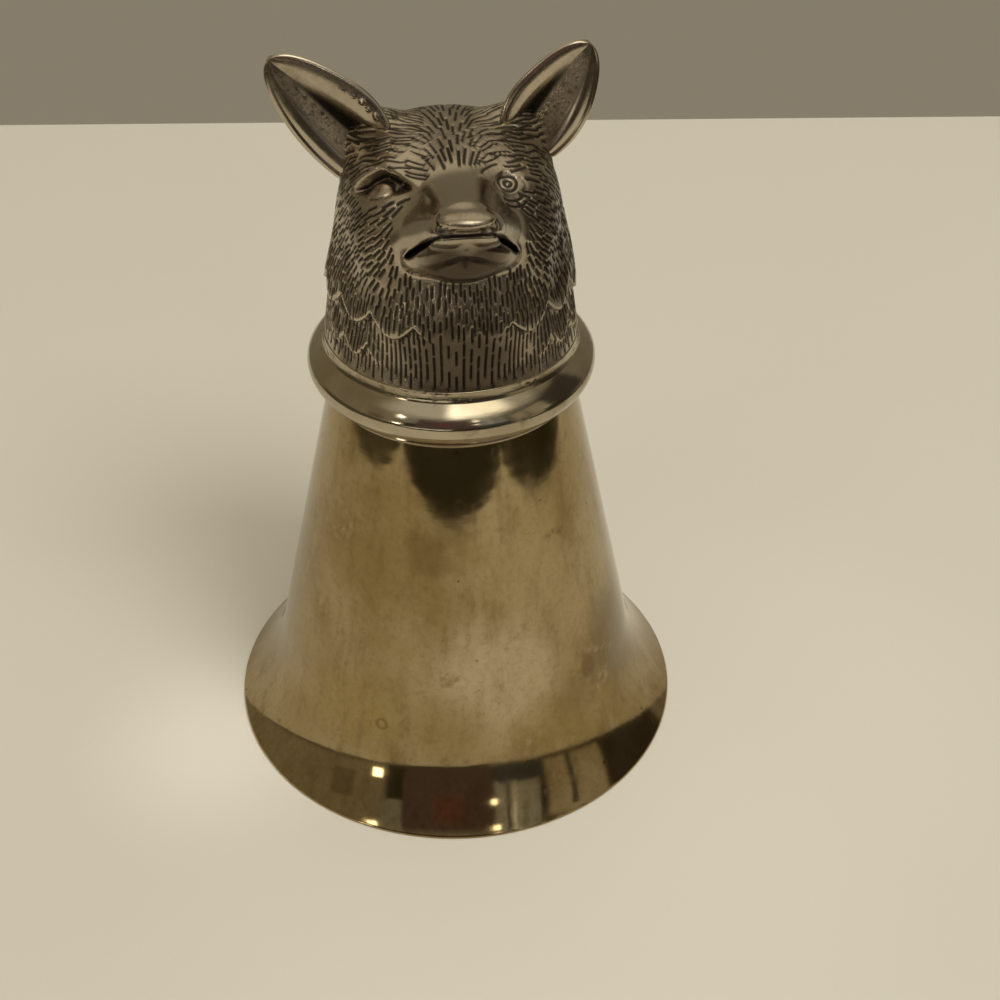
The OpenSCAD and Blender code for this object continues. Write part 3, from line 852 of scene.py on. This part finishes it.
EYE_LINES = [
    eye_line(RIGHT_EYE, 1, (-0.1, 0.1), (0.5, 0.45), 0, 360, 15),
    eye_line(RIGHT_EYE, 1, (-0.1, 0.1), (1.3, 1.1), 0, 360, 21),
    eye_line(RIGHT_EYE, 1, (0, 0.4), (2.6, 2.6), 235, 300, 9),
    eye_line(RIGHT_EYE, 1, (0, 0.2), (3.0, 3.2), 240, 305, 9),
    eye_line(LEFT_EYE, -1, (-0.1, 0.1), (2.3, 1.4), 20, 160, 12)]
line_from = np.concatenate([fur_from] + [a for a, b in EYE_LINES])
line_to = np.concatenate([fur_to] + [b for a, b in EYE_LINES])
print("graver segments:", len(line_from))

# %% [markdown]
# ## Cutting the strokes
#
# The strokes repeat and follow a surface, so Geometry Nodes cut them. A tree puts a short line on each
# segment's point, turns it along the stroke, makes the lines real, and measures how far each point of the
# head is from the nearest line. Close points are pushed in, and the distance is kept as an attribute, so
# that the finish can blacken the bottom of each cut exactly where the groove is.

# %% Graver tree
GRAVER_WIDTH = 0.27
GRAVER_DEPTH = 0.2


def graver_tree(lines):
    tree = bpy.data.node_groups.new("graver_strokes", "GeometryNodeTree")
    face = tree.interface
    face.new_socket("Geometry", in_out="INPUT", socket_type="NodeSocketGeometry")
    for name in ("Width", "Depth"):
        face.new_socket(name, in_out="INPUT", socket_type="NodeSocketFloat")
    face.new_socket("Finish", in_out="INPUT", socket_type="NodeSocketMaterial")
    face.new_socket("Geometry", in_out="OUTPUT", socket_type="NodeSocketGeometry")

    def add(kind, **settings):
        made = tree.nodes.new(kind)
        for name, value in settings.items():
            setattr(made, name, value)
        return made

    start, end = add("NodeGroupInput"), add("NodeGroupOutput")
    points = add("GeometryNodeObjectInfo")
    points.inputs["Object"].default_value = lines
    along = add("GeometryNodeInputNamedAttribute", data_type="FLOAT_VECTOR")
    along.inputs["Name"].default_value = "along"
    length = add("GeometryNodeInputNamedAttribute", data_type="FLOAT")
    length.inputs["Name"].default_value = "length"
    line = add("GeometryNodeMeshLine", mode="END_POINTS")
    line.inputs["Count"].default_value = 2
    line.inputs["Start Location"].default_value = (-0.5, 0, 0)
    line.inputs["Offset"].default_value = (0.5, 0, 0)
    aim = add("FunctionNodeAlignRotationToVector", axis="X")
    place = add("GeometryNodeInstanceOnPoints")
    real = add("GeometryNodeRealizeInstances")
    near = add("GeometryNodeProximity", target_element="EDGES")
    fall = add("ShaderNodeMapRange", interpolation_type="SMOOTHSTEP")
    fall.inputs["From Min"].default_value = 0.0
    fall.inputs["To Min"].default_value = -1.0
    fall.inputs["To Max"].default_value = 0.0
    deep = add("ShaderNodeMath", operation="MULTIPLY")
    normal = add("GeometryNodeInputNormal")
    push = add("ShaderNodeVectorMath", operation="SCALE")
    move = add("GeometryNodeSetPosition")
    keep = add("GeometryNodeStoreNamedAttribute", data_type="FLOAT", domain="POINT")
    keep.inputs["Name"].default_value = "stroke"
    whole = add("GeometryNodeRealizeInstances")
    paint = add("GeometryNodeSetMaterial")

    links = (
        (points, "Geometry", place, "Points"), (line, "Mesh", place, "Instance"),
        (along, "Attribute", aim, "Vector"), (aim, "Rotation", place, "Rotation"),
        (length, "Attribute", place, "Scale"), (place, "Instances", real, "Geometry"),
        (real, "Geometry", near, "Geometry"), (near, "Distance", fall, "Value"),
        (start, "Width", fall, "From Max"), (fall, "Result", deep, 0),
        (start, "Depth", deep, 1), (normal, "Normal", push, "Vector"),
        (deep, "Value", push, "Scale"), (start, "Geometry", keep, "Geometry"),
        (near, "Distance", keep, "Value"), (keep, "Geometry", move, "Geometry"),
        (push, "Vector", move, "Offset"), (move, "Geometry", whole, "Geometry"),
        (whole, "Geometry", paint, "Geometry"), (start, "Finish", paint, "Material"),
        (paint, "Geometry", end, "Geometry"))
    for source, output, target, socket in links:
        tree.links.new(source.outputs[output], target.inputs[socket])
    return tree


def segment_points(start, end):
    mesh = bpy.data.meshes.new("graver_points")
    mesh.from_pydata((((start + end) / 2 + (0, 0, SEAT)) * MM).tolist(), [], [])
    along = mesh.attributes.new("along", "FLOAT_VECTOR", "POINT")
    along.data.foreach_set("vector", unit(end - start).ravel())
    add_values(mesh, "length", np.linalg.norm(end - start, axis=-1) * 1.04 * MM)
    return bpy.data.objects.new("graver_points", mesh)


# %% [markdown]
# ## Cast and chased silver
#
# The head is darker than the cup: its cast skin holds oxide, the strokes are black, and only the muzzle,
# the brows and the tops of the tufts are rubbed bright. Painted shade darkens the front of the neck, the
# right cheek and the chin, and at the chin it also stands for dark marks. A weaker patch darkens the lips.
# A second attribute, how shut in a point is, comes from the same distance formula: a step out from a hollow
# gains less distance than a step out from a ridge.

# %% Chased finish
WORN = tone(0.52, 0.45, 0.34)
CAST = tone(0.475, 0.405, 0.305)
# The dark tone of the painted shade patches
PAINTED_SHADE_TONE = tone(0.085, 0.065, 0.045)
DULL = tone(0.17, 0.13, 0.09)
# Middles of dark patches in mm: painted shade on the neck, the right cheek and the chin, which also stands
# for dark marks, and a weaker darkening of the lips
NECK_PAINTED_SHADE = (0, -16.5, 68)
CHEEK_PAINTED_SHADE = (14, -8, 80)
CHIN_SHADE_AND_MARKS = (0, -19, 84)
LIP_DARK = (0, -17, 88)


def chased_finish(name, strokes):
    finish = Finish(name)
    recess = finish.ramp(finish.attribute("recess"), 0.28, 0.75)
    ridge = finish.ramp(finish.attribute("ridge"), 0.1, 0.6)
    grain = finish.noise(0.45, 3.0, 0.6)
    patches = finish.ramp(finish.noise(5, 4.0, 0.6), 0.38, 0.68)
    if strokes:
        edge = GRAVER_WIDTH * MM
        line = 0.9 - finish.ramp(finish.attribute("stroke"), edge * 0.35, edge * 0.9) * 0.9
        relief = grain
        # Painted shade: dark patches on the neck front and the right cheek stand for the dark room they
        # reflect, the chin patch is painted shade and dark marks, and a weaker patch darkens the lips
        painted_shade = finish.spot(NECK_PAINTED_SHADE, 4, 12, 4) * 0.92 + finish.spot(CHEEK_PAINTED_SHADE, 2, 14, 6) * 0.8
        painted_shade = painted_shade + finish.spot(CHIN_SHADE_AND_MARKS, 3, 6.5, 1) * 0.85 + finish.spot(LIP_DARK, 4, 9, 2) * 0.25
    else:
        pebble = finish.attribute("pebble")
        rough = finish.noise(0.6, 4.0, 0.75)
        line = pebble * (1 - finish.ramp(rough, 0.36, 0.5)) * 0.8
        painted_shade = 0.0
        relief = grain * 0.4 + rough * pebble * 9
    black = finish.node("ShaderNodeMath", {"operation": "MAXIMUM"}, {0: recess, 1: line})
    skin = finish.mix(patches * 0.5 + finish.ramp(grain, 0.42, 0.7) * 0.25, CAST, DULL)
    worn = finish.mix(ridge, skin, WORN)
    darkened = finish.mix(painted_shade, worn, PAINTED_SHADE_TONE)
    finish.set(Base_Color=finish.mix(black * 0.94, darkened, OXIDE), Metallic=1.0)
    finish.set(Roughness=0.24 + patches * 0.1 + black * 0.35 - ridge * 0.09)
    finish.set(Normal=finish.bump(relief, 0.03, 0.45))
    return finish.owner


def shut_in(p, normal):
    near, wide = 0.5, 1.6
    close = 1 - head_field(p + normal * near) / near
    broad = 1 - head_field(p + normal * wide) / wide
    return np.clip(0.6 * close + 0.6 * broad, 0, 1)


def rubbed(p):
    q = right_half(p)
    nose_end = 1 - ramp((0.2, 1.0), np.minimum(muzzle(q), chin(q)))
    turn = np.abs(turn_of(p))
    upper, lower = tuft_edges(turn)
    lip = (1 - ramp((0.2, 1.2), np.abs(p[:, 2] - upper - 0.5))) * ramp((12, 20), turn)
    small = (1 - ramp((0.1, 0.8), np.abs(p[:, 2] - lower - 0.4))) * ramp((36, 44), turn)
    small = small * (1 - ramp((70, 78), turn))
    brows = 1 - ramp((1.0, 2.2), np.linalg.norm(p - SMOOTH_BROW, axis=-1))
    for eye, side in ((LEFT_EYE, -1), (RIGHT_EYE, 1)):
        along, up, far = eye_place(q, eye)
        over = up - eye["over"] * (1 - np.minimum(np.abs(along) / eye["half"], 1) ** 1.3)
        arch = ramp((-0.1, 0.3), over) * (1 - ramp((0.6, 1.4), over)) * (far < 5.5) * (p[:, 0] * side > 0)
        brows = np.maximum(brows, arch * eye["brow"] / 0.3)
    tufts = np.maximum(lip, small) * (1 - ramp((95, 115), turn))
    return np.maximum(np.maximum(0.4 * nose_end, 0.45 * brows), 0.65 * tufts)


# %% [markdown]
# ## The head's piece
#
# The casting is hollow and open at the neck, so a plain inner wall closes the mesh from the foot of the neck.
# The tree above then cuts the outside, and its result is kept as a plain mesh, without the modifier.

# %% Head piece
HOLLOW_R = 15.3
HOLLOW_TOP_R = 7.7
HOLLOW_H = 20.0


def hollow():
    """The inner wall, from the foot of the neck up to a flat end: its points and faces."""
    foot = unit(surface[0] * np.array((1, 1, 0)))
    points = np.concatenate([foot * HOLLOW_R, foot * HOLLOW_TOP_R + (0, 0, HOLLOW_H), [(0, 0, HOLLOW_H)]])
    first = len(head_xyz)
    rings = [0, first, first + columns]
    faces = []
    for i in range(columns):
        after = (i + 1) % columns
        faces += [(a + after, a + i, b + i, b + after) for a, b in zip(rings, rings[1:])]
        faces.append((rings[2] + after, rings[2] + i, first + 2 * columns))
    return points, faces


def cut_head():
    mesh = bpy.data.meshes.new("head_uncut")
    inner, inner_faces = hollow()
    points = np.concatenate([head_xyz, inner])
    mesh.from_pydata(((points + (0, 0, SEAT)) * MM).tolist(), [], band + cap + inner_faces)
    mesh.polygons.foreach_set("use_smooth", np.ones(len(mesh.polygons), bool))
    add_values(mesh, "recess", np.append(shut_in(head_xyz, head_normals), np.ones(len(inner))))
    add_values(mesh, "ridge", np.append(rubbed(head_xyz), np.zeros(len(inner))))
    uncut = bpy.data.objects.new("head_uncut", mesh)
    points = segment_points(line_from, line_to)
    for helper in (uncut, points):
        bpy.context.scene.collection.objects.link(helper)
    tree = graver_tree(points)
    graver = uncut.modifiers.new("graver", "NODES")
    graver.node_group = tree
    sizes = {"Width": GRAVER_WIDTH * MM, "Depth": GRAVER_DEPTH * MM,
             "Finish": chased_finish("chased_silver", True)}
    for item in tree.interface.items_tree:
        if item.in_out == "INPUT" and item.name in sizes:
            graver[item.identifier] = sizes[item.name]
    bpy.context.view_layer.update()
    seen = uncut.evaluated_get(bpy.context.evaluated_depsgraph_get())
    cut_mesh = bpy.data.meshes.new_from_object(seen)
    cut_mesh.name = "fox_head"
    for helper in (uncut, points):
        bpy.data.objects.remove(helper)
    piece = bpy.data.objects.new("fox_head", cut_mesh)
    bpy.context.scene.collection.objects.link(piece)
    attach(piece, "root")
    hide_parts("head_casting")
    return piece


fox_head = cut_head()
print("fox head faces:", len(fox_head.data.polygons), "materials:", [m.name for m in fox_head.data.materials])

# %% [markdown]
# ## Ears
#
# Each ear is a cast scoop soldered to the head. Inside a flat outer border its pebbled hollow slopes to a
# fold, and past the fold a full smooth lobe rises to the inner rim. Beads of solder were left at the left
# ear's inner root. Sections run from inside the head, so that no gap shows, to a blunt tip. The inner edge
# draws in at the root, where it runs down to the crown, and the outer one tucks in to meet the head's side.

# %% Ear shape
EAR_W = 12.8
EAR_DEPTH = 4.6
EAR_WALL = 1.1
BORDER = 0.19
BORDER_DEPTH = 0.08
EAR_SUNK = 0.2
EAR_ROWS = 110
EAR_ACROSS = 90
RIM_STEPS = 7
# Each bead: its place across and along the ear, and its height in mm
BEADS = ((0.95, 0.14, 0.5), (0.93, 0.22, 0.3), (0.95, 0.29, 0.55), (0.93, 0.37, 0.25), (0.91, 0.45, 0.15))


def ear_axis(side, splay):
    return unit(np.array((side * math.sin(splay), 0.08, math.cos(splay))))


def ear_scoop(t):
    return EAR_DEPTH * (1 - 0.72 * t)


def ear_front(u, t, fold):
    """How far the front lies behind the rim's plane, from the outer rim (u = 0) to the inner one (u = 1)."""
    slope = BORDER_DEPTH + (1 - BORDER_DEPTH) * np.clip((u - BORDER) / (fold - BORDER), 0, 1) ** 1.1
    lobe = np.clip((1 - u) / (1 - fold), 0, 1) ** 2
    border = -0.2 * np.sin(np.pi * np.clip(u / BORDER, 0, 1)) * (1 - t)
    return np.maximum(0, ear_scoop(t) - EAR_WALL) * np.where(u > fold, lobe, slope) * (1 - t ** 3) + border


def ear_back(u, t, fold):
    edge = 0.35 * EAR_WALL
    lean = np.where(u < fold, u / fold / 2, 0.5 + (u - fold) / (1 - fold) / 2)
    return edge + (ear_scoop(t) - edge) * np.sin(np.pi * lean) ** 0.75


def solder_beads(u, t):
    return sum(h * np.exp(-((u - at) / 0.035) ** 2 - ((t - up) / 0.022) ** 2) for at, up, h in BEADS)


def ear_section(half, t, fold, beads):
    u = (1 - np.cos(np.linspace(0, np.pi, EAR_ACROSS)))[None] / 2
    rim = np.minimum(0.8 * EAR_WALL, half / 2)
    roll = np.linspace(0, np.pi / 2, RIM_STEPS)[None, 1:-1]
    edge = 0.35 * EAR_WALL
    back = np.stack([half * (2 * u - 1), ear_back(u, t, fold)], -1)
    inner = np.stack([half - rim * (1 - np.cos(roll)), edge * (1 - np.sin(roll)) + 0 * half], -1)
    depth = ear_front(u, t, fold) - beads * solder_beads(u, t)
    front = np.stack([(half - rim) * (2 * u - 1), depth], -1)[:, ::-1]
    outer = (inner * np.array((-1, 1)))[:, ::-1]
    flat = np.zeros(inner.shape[:2])
    spot = np.concatenate([0 * u + 0 * t, flat, u[:, ::-1] + 0 * t, flat], 1)
    loop = np.concatenate([back, inner, front, outer], 1)
    draw = 1 - 0.34 * np.clip(1 - t / 0.45, 0, 1) ** 2
    loop[..., 0] = np.where(loop[..., 0] > 0, loop[..., 0] * draw, loop[..., 0])
    return loop, spot


def ear_piece(name, side, shape, node, finish):
    fold = shape["fold"]
    s = np.linspace(0, 1, EAR_ROWS)[:, None]
    t = -EAR_SUNK + (EAR_SUNK + 0.997) * (1 - (1 - s) ** 1.5)
    grown = np.clip(t, 0, 1)
    drawn_in = 1 + 2.4 * np.minimum(t, 0)
    half = (EAR_W / 2 * (1 - 0.5 * grown) * np.sqrt(1 - grown ** 5) + 0.14) * drawn_in
    section, spot = ear_section(half, grown, fold, side < 0)
    hang = 1 - shape["tuck"] * np.clip(1 - t / 0.6, 0, 1.4) ** 2
    section[..., 0] = np.where(section[..., 0] < 0, section[..., 0] * hang, section[..., 0])
    axis = ear_axis(side, shape["splay"])
    across = np.cross((0, -1, 0), axis) * side
    root = np.array((side * EAR_GAP / 2, EAR_BACK - EAR_DEPTH / 2, EAR_H + SEAT))
    points = root + axis * shape["length"] * t[..., None] + across * section[..., :1]
    points = points + np.array((0, 1, 0)) * section[..., 1:]
    ends = [points[-1].mean(0) + axis * 0.05, points[0].mean(0)]
    count = section.shape[1]
    faces = grid_faces(EAR_ROWS, count, False, True).tolist()
    last = (EAR_ROWS - 1) * count
    faces += [(last + i, last + (i + 1) % count, EAR_ROWS * count) for i in range(count)]
    faces += [((i + 1) % count, i, EAR_ROWS * count + 1) for i in range(count)]
    if side < 0:
        faces = [face[::-1] for face in faces]
    points = np.concatenate([points.reshape(-1, 3), ends])
    piece = mesh_piece(name, points, faces, finish, node)
    inside = spot > 0
    crease = np.exp(-((spot - fold + 0.02) / 0.09) ** 2) * inside * (1 - grown ** 2)
    groove = np.exp(-((spot - BORDER - 0.02) / 0.03) ** 2) + np.exp(-((spot - 0.975) / 0.02) ** 2)
    recess = np.maximum(crease, 0.5 * groove * inside)
    pebble = ramp((BORDER + 0.02, BORDER + 0.1), spot) * (1 - ramp((fold - 0.12, fold - 0.02), spot))
    lobe = ramp((fold + 0.1, fold + 0.2), spot) * (1 - ramp((0.94, 0.97), spot))
    pebble = pebble * (1 - ramp((0.8, 0.95), grown))
    ridge = np.maximum(0.35 * lobe, 0.6 * (spot < BORDER))
    masks = (("recess", recess, (0, 0)), ("pebble", pebble, (0, 0)), ("ridge", ridge, (0.3, 0)))
    for label, values, at_ends in masks:
        add_values(piece.data, label, np.append(values.ravel(), at_ends))
    return piece


ear_silver = chased_finish("ear_silver", False)
LEFT_SHAPE = {"splay": math.radians(44), "length": 15.8, "fold": 0.55, "tuck": 0.2}
RIGHT_SHAPE = {"splay": math.radians(32), "length": 14.0, "fold": 0.64, "tuck": 0.38}
left = ear_piece("fox_left_ear", -1, LEFT_SHAPE, "left_ear", ear_silver)
right = ear_piece("fox_right_ear", 1, RIGHT_SHAPE, "right_ear", ear_silver)
print("ear faces:", len(left.data.polygons), len(right.data.polygons))

# %% [markdown]
# ## The table
#
# The cup stands on a pale table in a dim, warm room. Polished silver shows its surroundings more than itself,
# so the room matters: the pale table fills the lower wall and ends a hand's breadth in front of the cup.

# %% Table
TABLE_OUTLINE = ((-192, -178), (137, -207), (172, 195), (-157, 223))
TABLE_THICK = 25


def table_finish():
    finish = Finish("pale_table")
    cloud = finish.noise(160, 3.0)
    colour = finish.mix(cloud, tone(0.70, 0.667, 0.585), tone(0.74, 0.705, 0.615))
    finish.set(Base_Color=colour, Roughness=0.6)
    return finish.owner


def slab(name, outline, thick, finish):
    count = len(outline)
    points = [(x, y, z) for z in (-thick, 0) for x, y in outline]
    sides = [(i, (i + 1) % count, count + (i + 1) % count, count + i) for i in range(count)]
    faces = [tuple(range(count))[::-1], tuple(range(count, 2 * count))] + sides
    mesh = bpy.data.meshes.new(name)
    mesh.from_pydata((np.array(points) * MM).tolist(), [], faces)
    mesh.materials.append(finish)
    thing = bpy.data.objects.new(name, mesh)
    bpy.context.scene.collection.objects.link(thing)
    return thing


table = slab("table", TABLE_OUTLINE, TABLE_THICK, table_finish())
print("table outline in mm:", TABLE_OUTLINE)

# %% [markdown]
# ## The room
#
# The room could be built of real walls, but only its reflection counts, so it is a world made of soft-edged
# panels of colour. Those beyond the table's edge show in the flared lip, and a bright one high in front makes
# the highlight on the collar.

# %% Room
class Room(Shading):
    """A world whose colour depends on the turn from the front and the rise above the table."""

    def __init__(self, name):
        super().__init__(bpy.data.worlds.new(name))
        self.tree.nodes.clear()
        direction = self.node("ShaderNodeTexCoord")
        x, y, z = (self.node("ShaderNodeSeparateXYZ", {}, {0: direction}, output=i) for i in range(3))
        self.back = y
        self.turn = x.maths("ARCTAN2", x, y * -1.0) * math.degrees(1)
        self.rise = z.maths("ARCSINE", z) * math.degrees(1)

    def inside(self, value, span, soft):
        past_low, past_high = (self.ramp(value, end - soft, end + soft) for end in span)
        return past_low - past_high

    def panel(self, behind, turns, rises, colour, soft):
        mask = self.inside(self.turn, turns, soft) * self.inside(self.rise, rises, soft)
        return self.mix(mask, behind, tone(*colour))

    def finish(self, colour):
        shade = self.node("ShaderNodeBackground", {}, {"Color": colour})
        self.node("ShaderNodeOutputWorld", {}, {"Surface": shade})
        return self.owner


# Each panel: its turn from the front and its rise in degrees, its colour and how soft its edge is
PANELS = [
    ((-150, -42), (-2, 50), (0.26, 0.22, 0.15), 3.0),
    ((-46, -33), (20, 46), (0.24, 0.22, 0.19), 1.0),
    ((-33, 13), (-2, 50), (0.10, 0.070, 0.065), 1.0),
    ((-18, -3), (16, 34), (0.14, 0.065, 0.052), 4.0),
    ((13, 36), (8, 46), (0.34, 0.335, 0.32), 1.0),
    ((22, 24), (8, 46), (0.75, 0.72, 0.66), 0.5),
    ((15, 40), (-5, 10), (0.075, 0.08, 0.09), 1.0),
    ((40, 72), (0, 34), (0.42, 0.37, 0.28), 2.0),
    ((72, 108), (-4, 40), (0.06, 0.05, 0.04), 2.0),
    ((108, 160), (-4, 40), (0.24, 0.21, 0.16), 4.0),
    ((-42, -6), (-9, -4), (1.1, 1.04, 0.88), 1.5),
    ((40, 66), (-12, -3), (0.42, 0.37, 0.29), 2.0),
    ((-115, -55), (-40, -2), (0.10, 0.085, 0.055), 4.0),
    ((27, 30), (22, 44), (0.26, 0.24, 0.19), 0.8),
    ((19, 20.5), (10, 40), (0.05, 0.045, 0.04), 0.4),
    ((52, 55), (-2, 30), (0.10, 0.09, 0.07), 0.8),
    ((-70, -58), (6, 22), (0.17, 0.14, 0.09), 1.0),
    ((-49, -44), (2, 7), (9.0, 8.2, 6.6), 0.6),
    ((-51, -46), (35, 40), (6.0, 5.6, 4.8), 0.8),
    ((11, 14), (20, 23), (7.0, 6.6, 5.8), 0.6),
    ((12, 15), (36, 39), (7.0, 6.6, 5.8), 0.6),
    ((-75, 80), (44, 82), (0.60, 0.56, 0.47), 8.0),
    ((-10, 52), (48, 84), (2.6, 2.52, 2.25), 7.0)]


def build_room():
    room = Room("room")
    colour = room.mix(room.ramp(room.back, -0.1, 0.5), tone(0.045, 0.038, 0.024), tone(0.235, 0.205, 0.145))
    ceiling = room.mix(room.ramp(room.back, -0.2, 0.3), tone(0.20, 0.175, 0.13), tone(0.68, 0.62, 0.49))
    colour = room.mix(room.ramp(room.rise, 22, 48), colour, ceiling)
    for turns, rises, shade, soft in PANELS:
        colour = room.panel(colour, turns, rises, shade, soft)
    return room.finish(colour)


bpy.context.scene.world = build_room()
print("room panels:", len(PANELS))

# %% [markdown]
# ## Lights
#
# Two soft lamps shape the shadow. They aren't reflected, because the room's panels already are. Three weak
# spots stand for the light that the polished wall throws on the table beside it.

# %% Lights
DAYLIGHT = (1.0, 0.97, 0.92)


def lamp(name, at, aim, power, size, spread=None):
    """A round soft lamp, or a spot if it has a spread."""
    data = bpy.data.lights.new(name, "SPOT" if spread else "AREA")
    if spread:
        data.spot_size = spread
        data.spot_blend = 1.0
        data.shadow_soft_size = size
    else:
        data.shape = "DISK"
        data.size = size
    data.energy = power
    data.color = DAYLIGHT
    thing = bpy.data.objects.new(name, data)
    thing.location = at
    thing.rotation_euler = (Vector(aim) - Vector(at)).to_track_quat("-Z", "Y").to_euler()
    thing.visible_glossy = False
    bpy.context.scene.collection.objects.link(thing)
    return thing


key = lamp("soft_window", (0.41, -0.50, 0.89), (0, 0, 0.05), 3.9, 0.46)
fill = lamp("soft_ceiling", (-0.2, 0.3, 1.1), (0, 0, 0.05), 0.6, 1.2)
left_glow = lamp("thrown_left", (-0.06, -0.025, 0.15), (-0.037, -0.011, 0), 0.17, 0.01, math.radians(15))
right_glow = lamp("thrown_right", (0.08, -0.02, 0.2), (0.045, -0.008, 0), 0.07, 0.01, math.radians(30))
front_glow = lamp("thrown_front", (0.01, -0.1, 0.2), (0.006, -0.05, 0), 0.10, 0.01, math.radians(32))
print("lights:", [light.name for light in (key, fill, left_glow, right_glow, front_glow)])
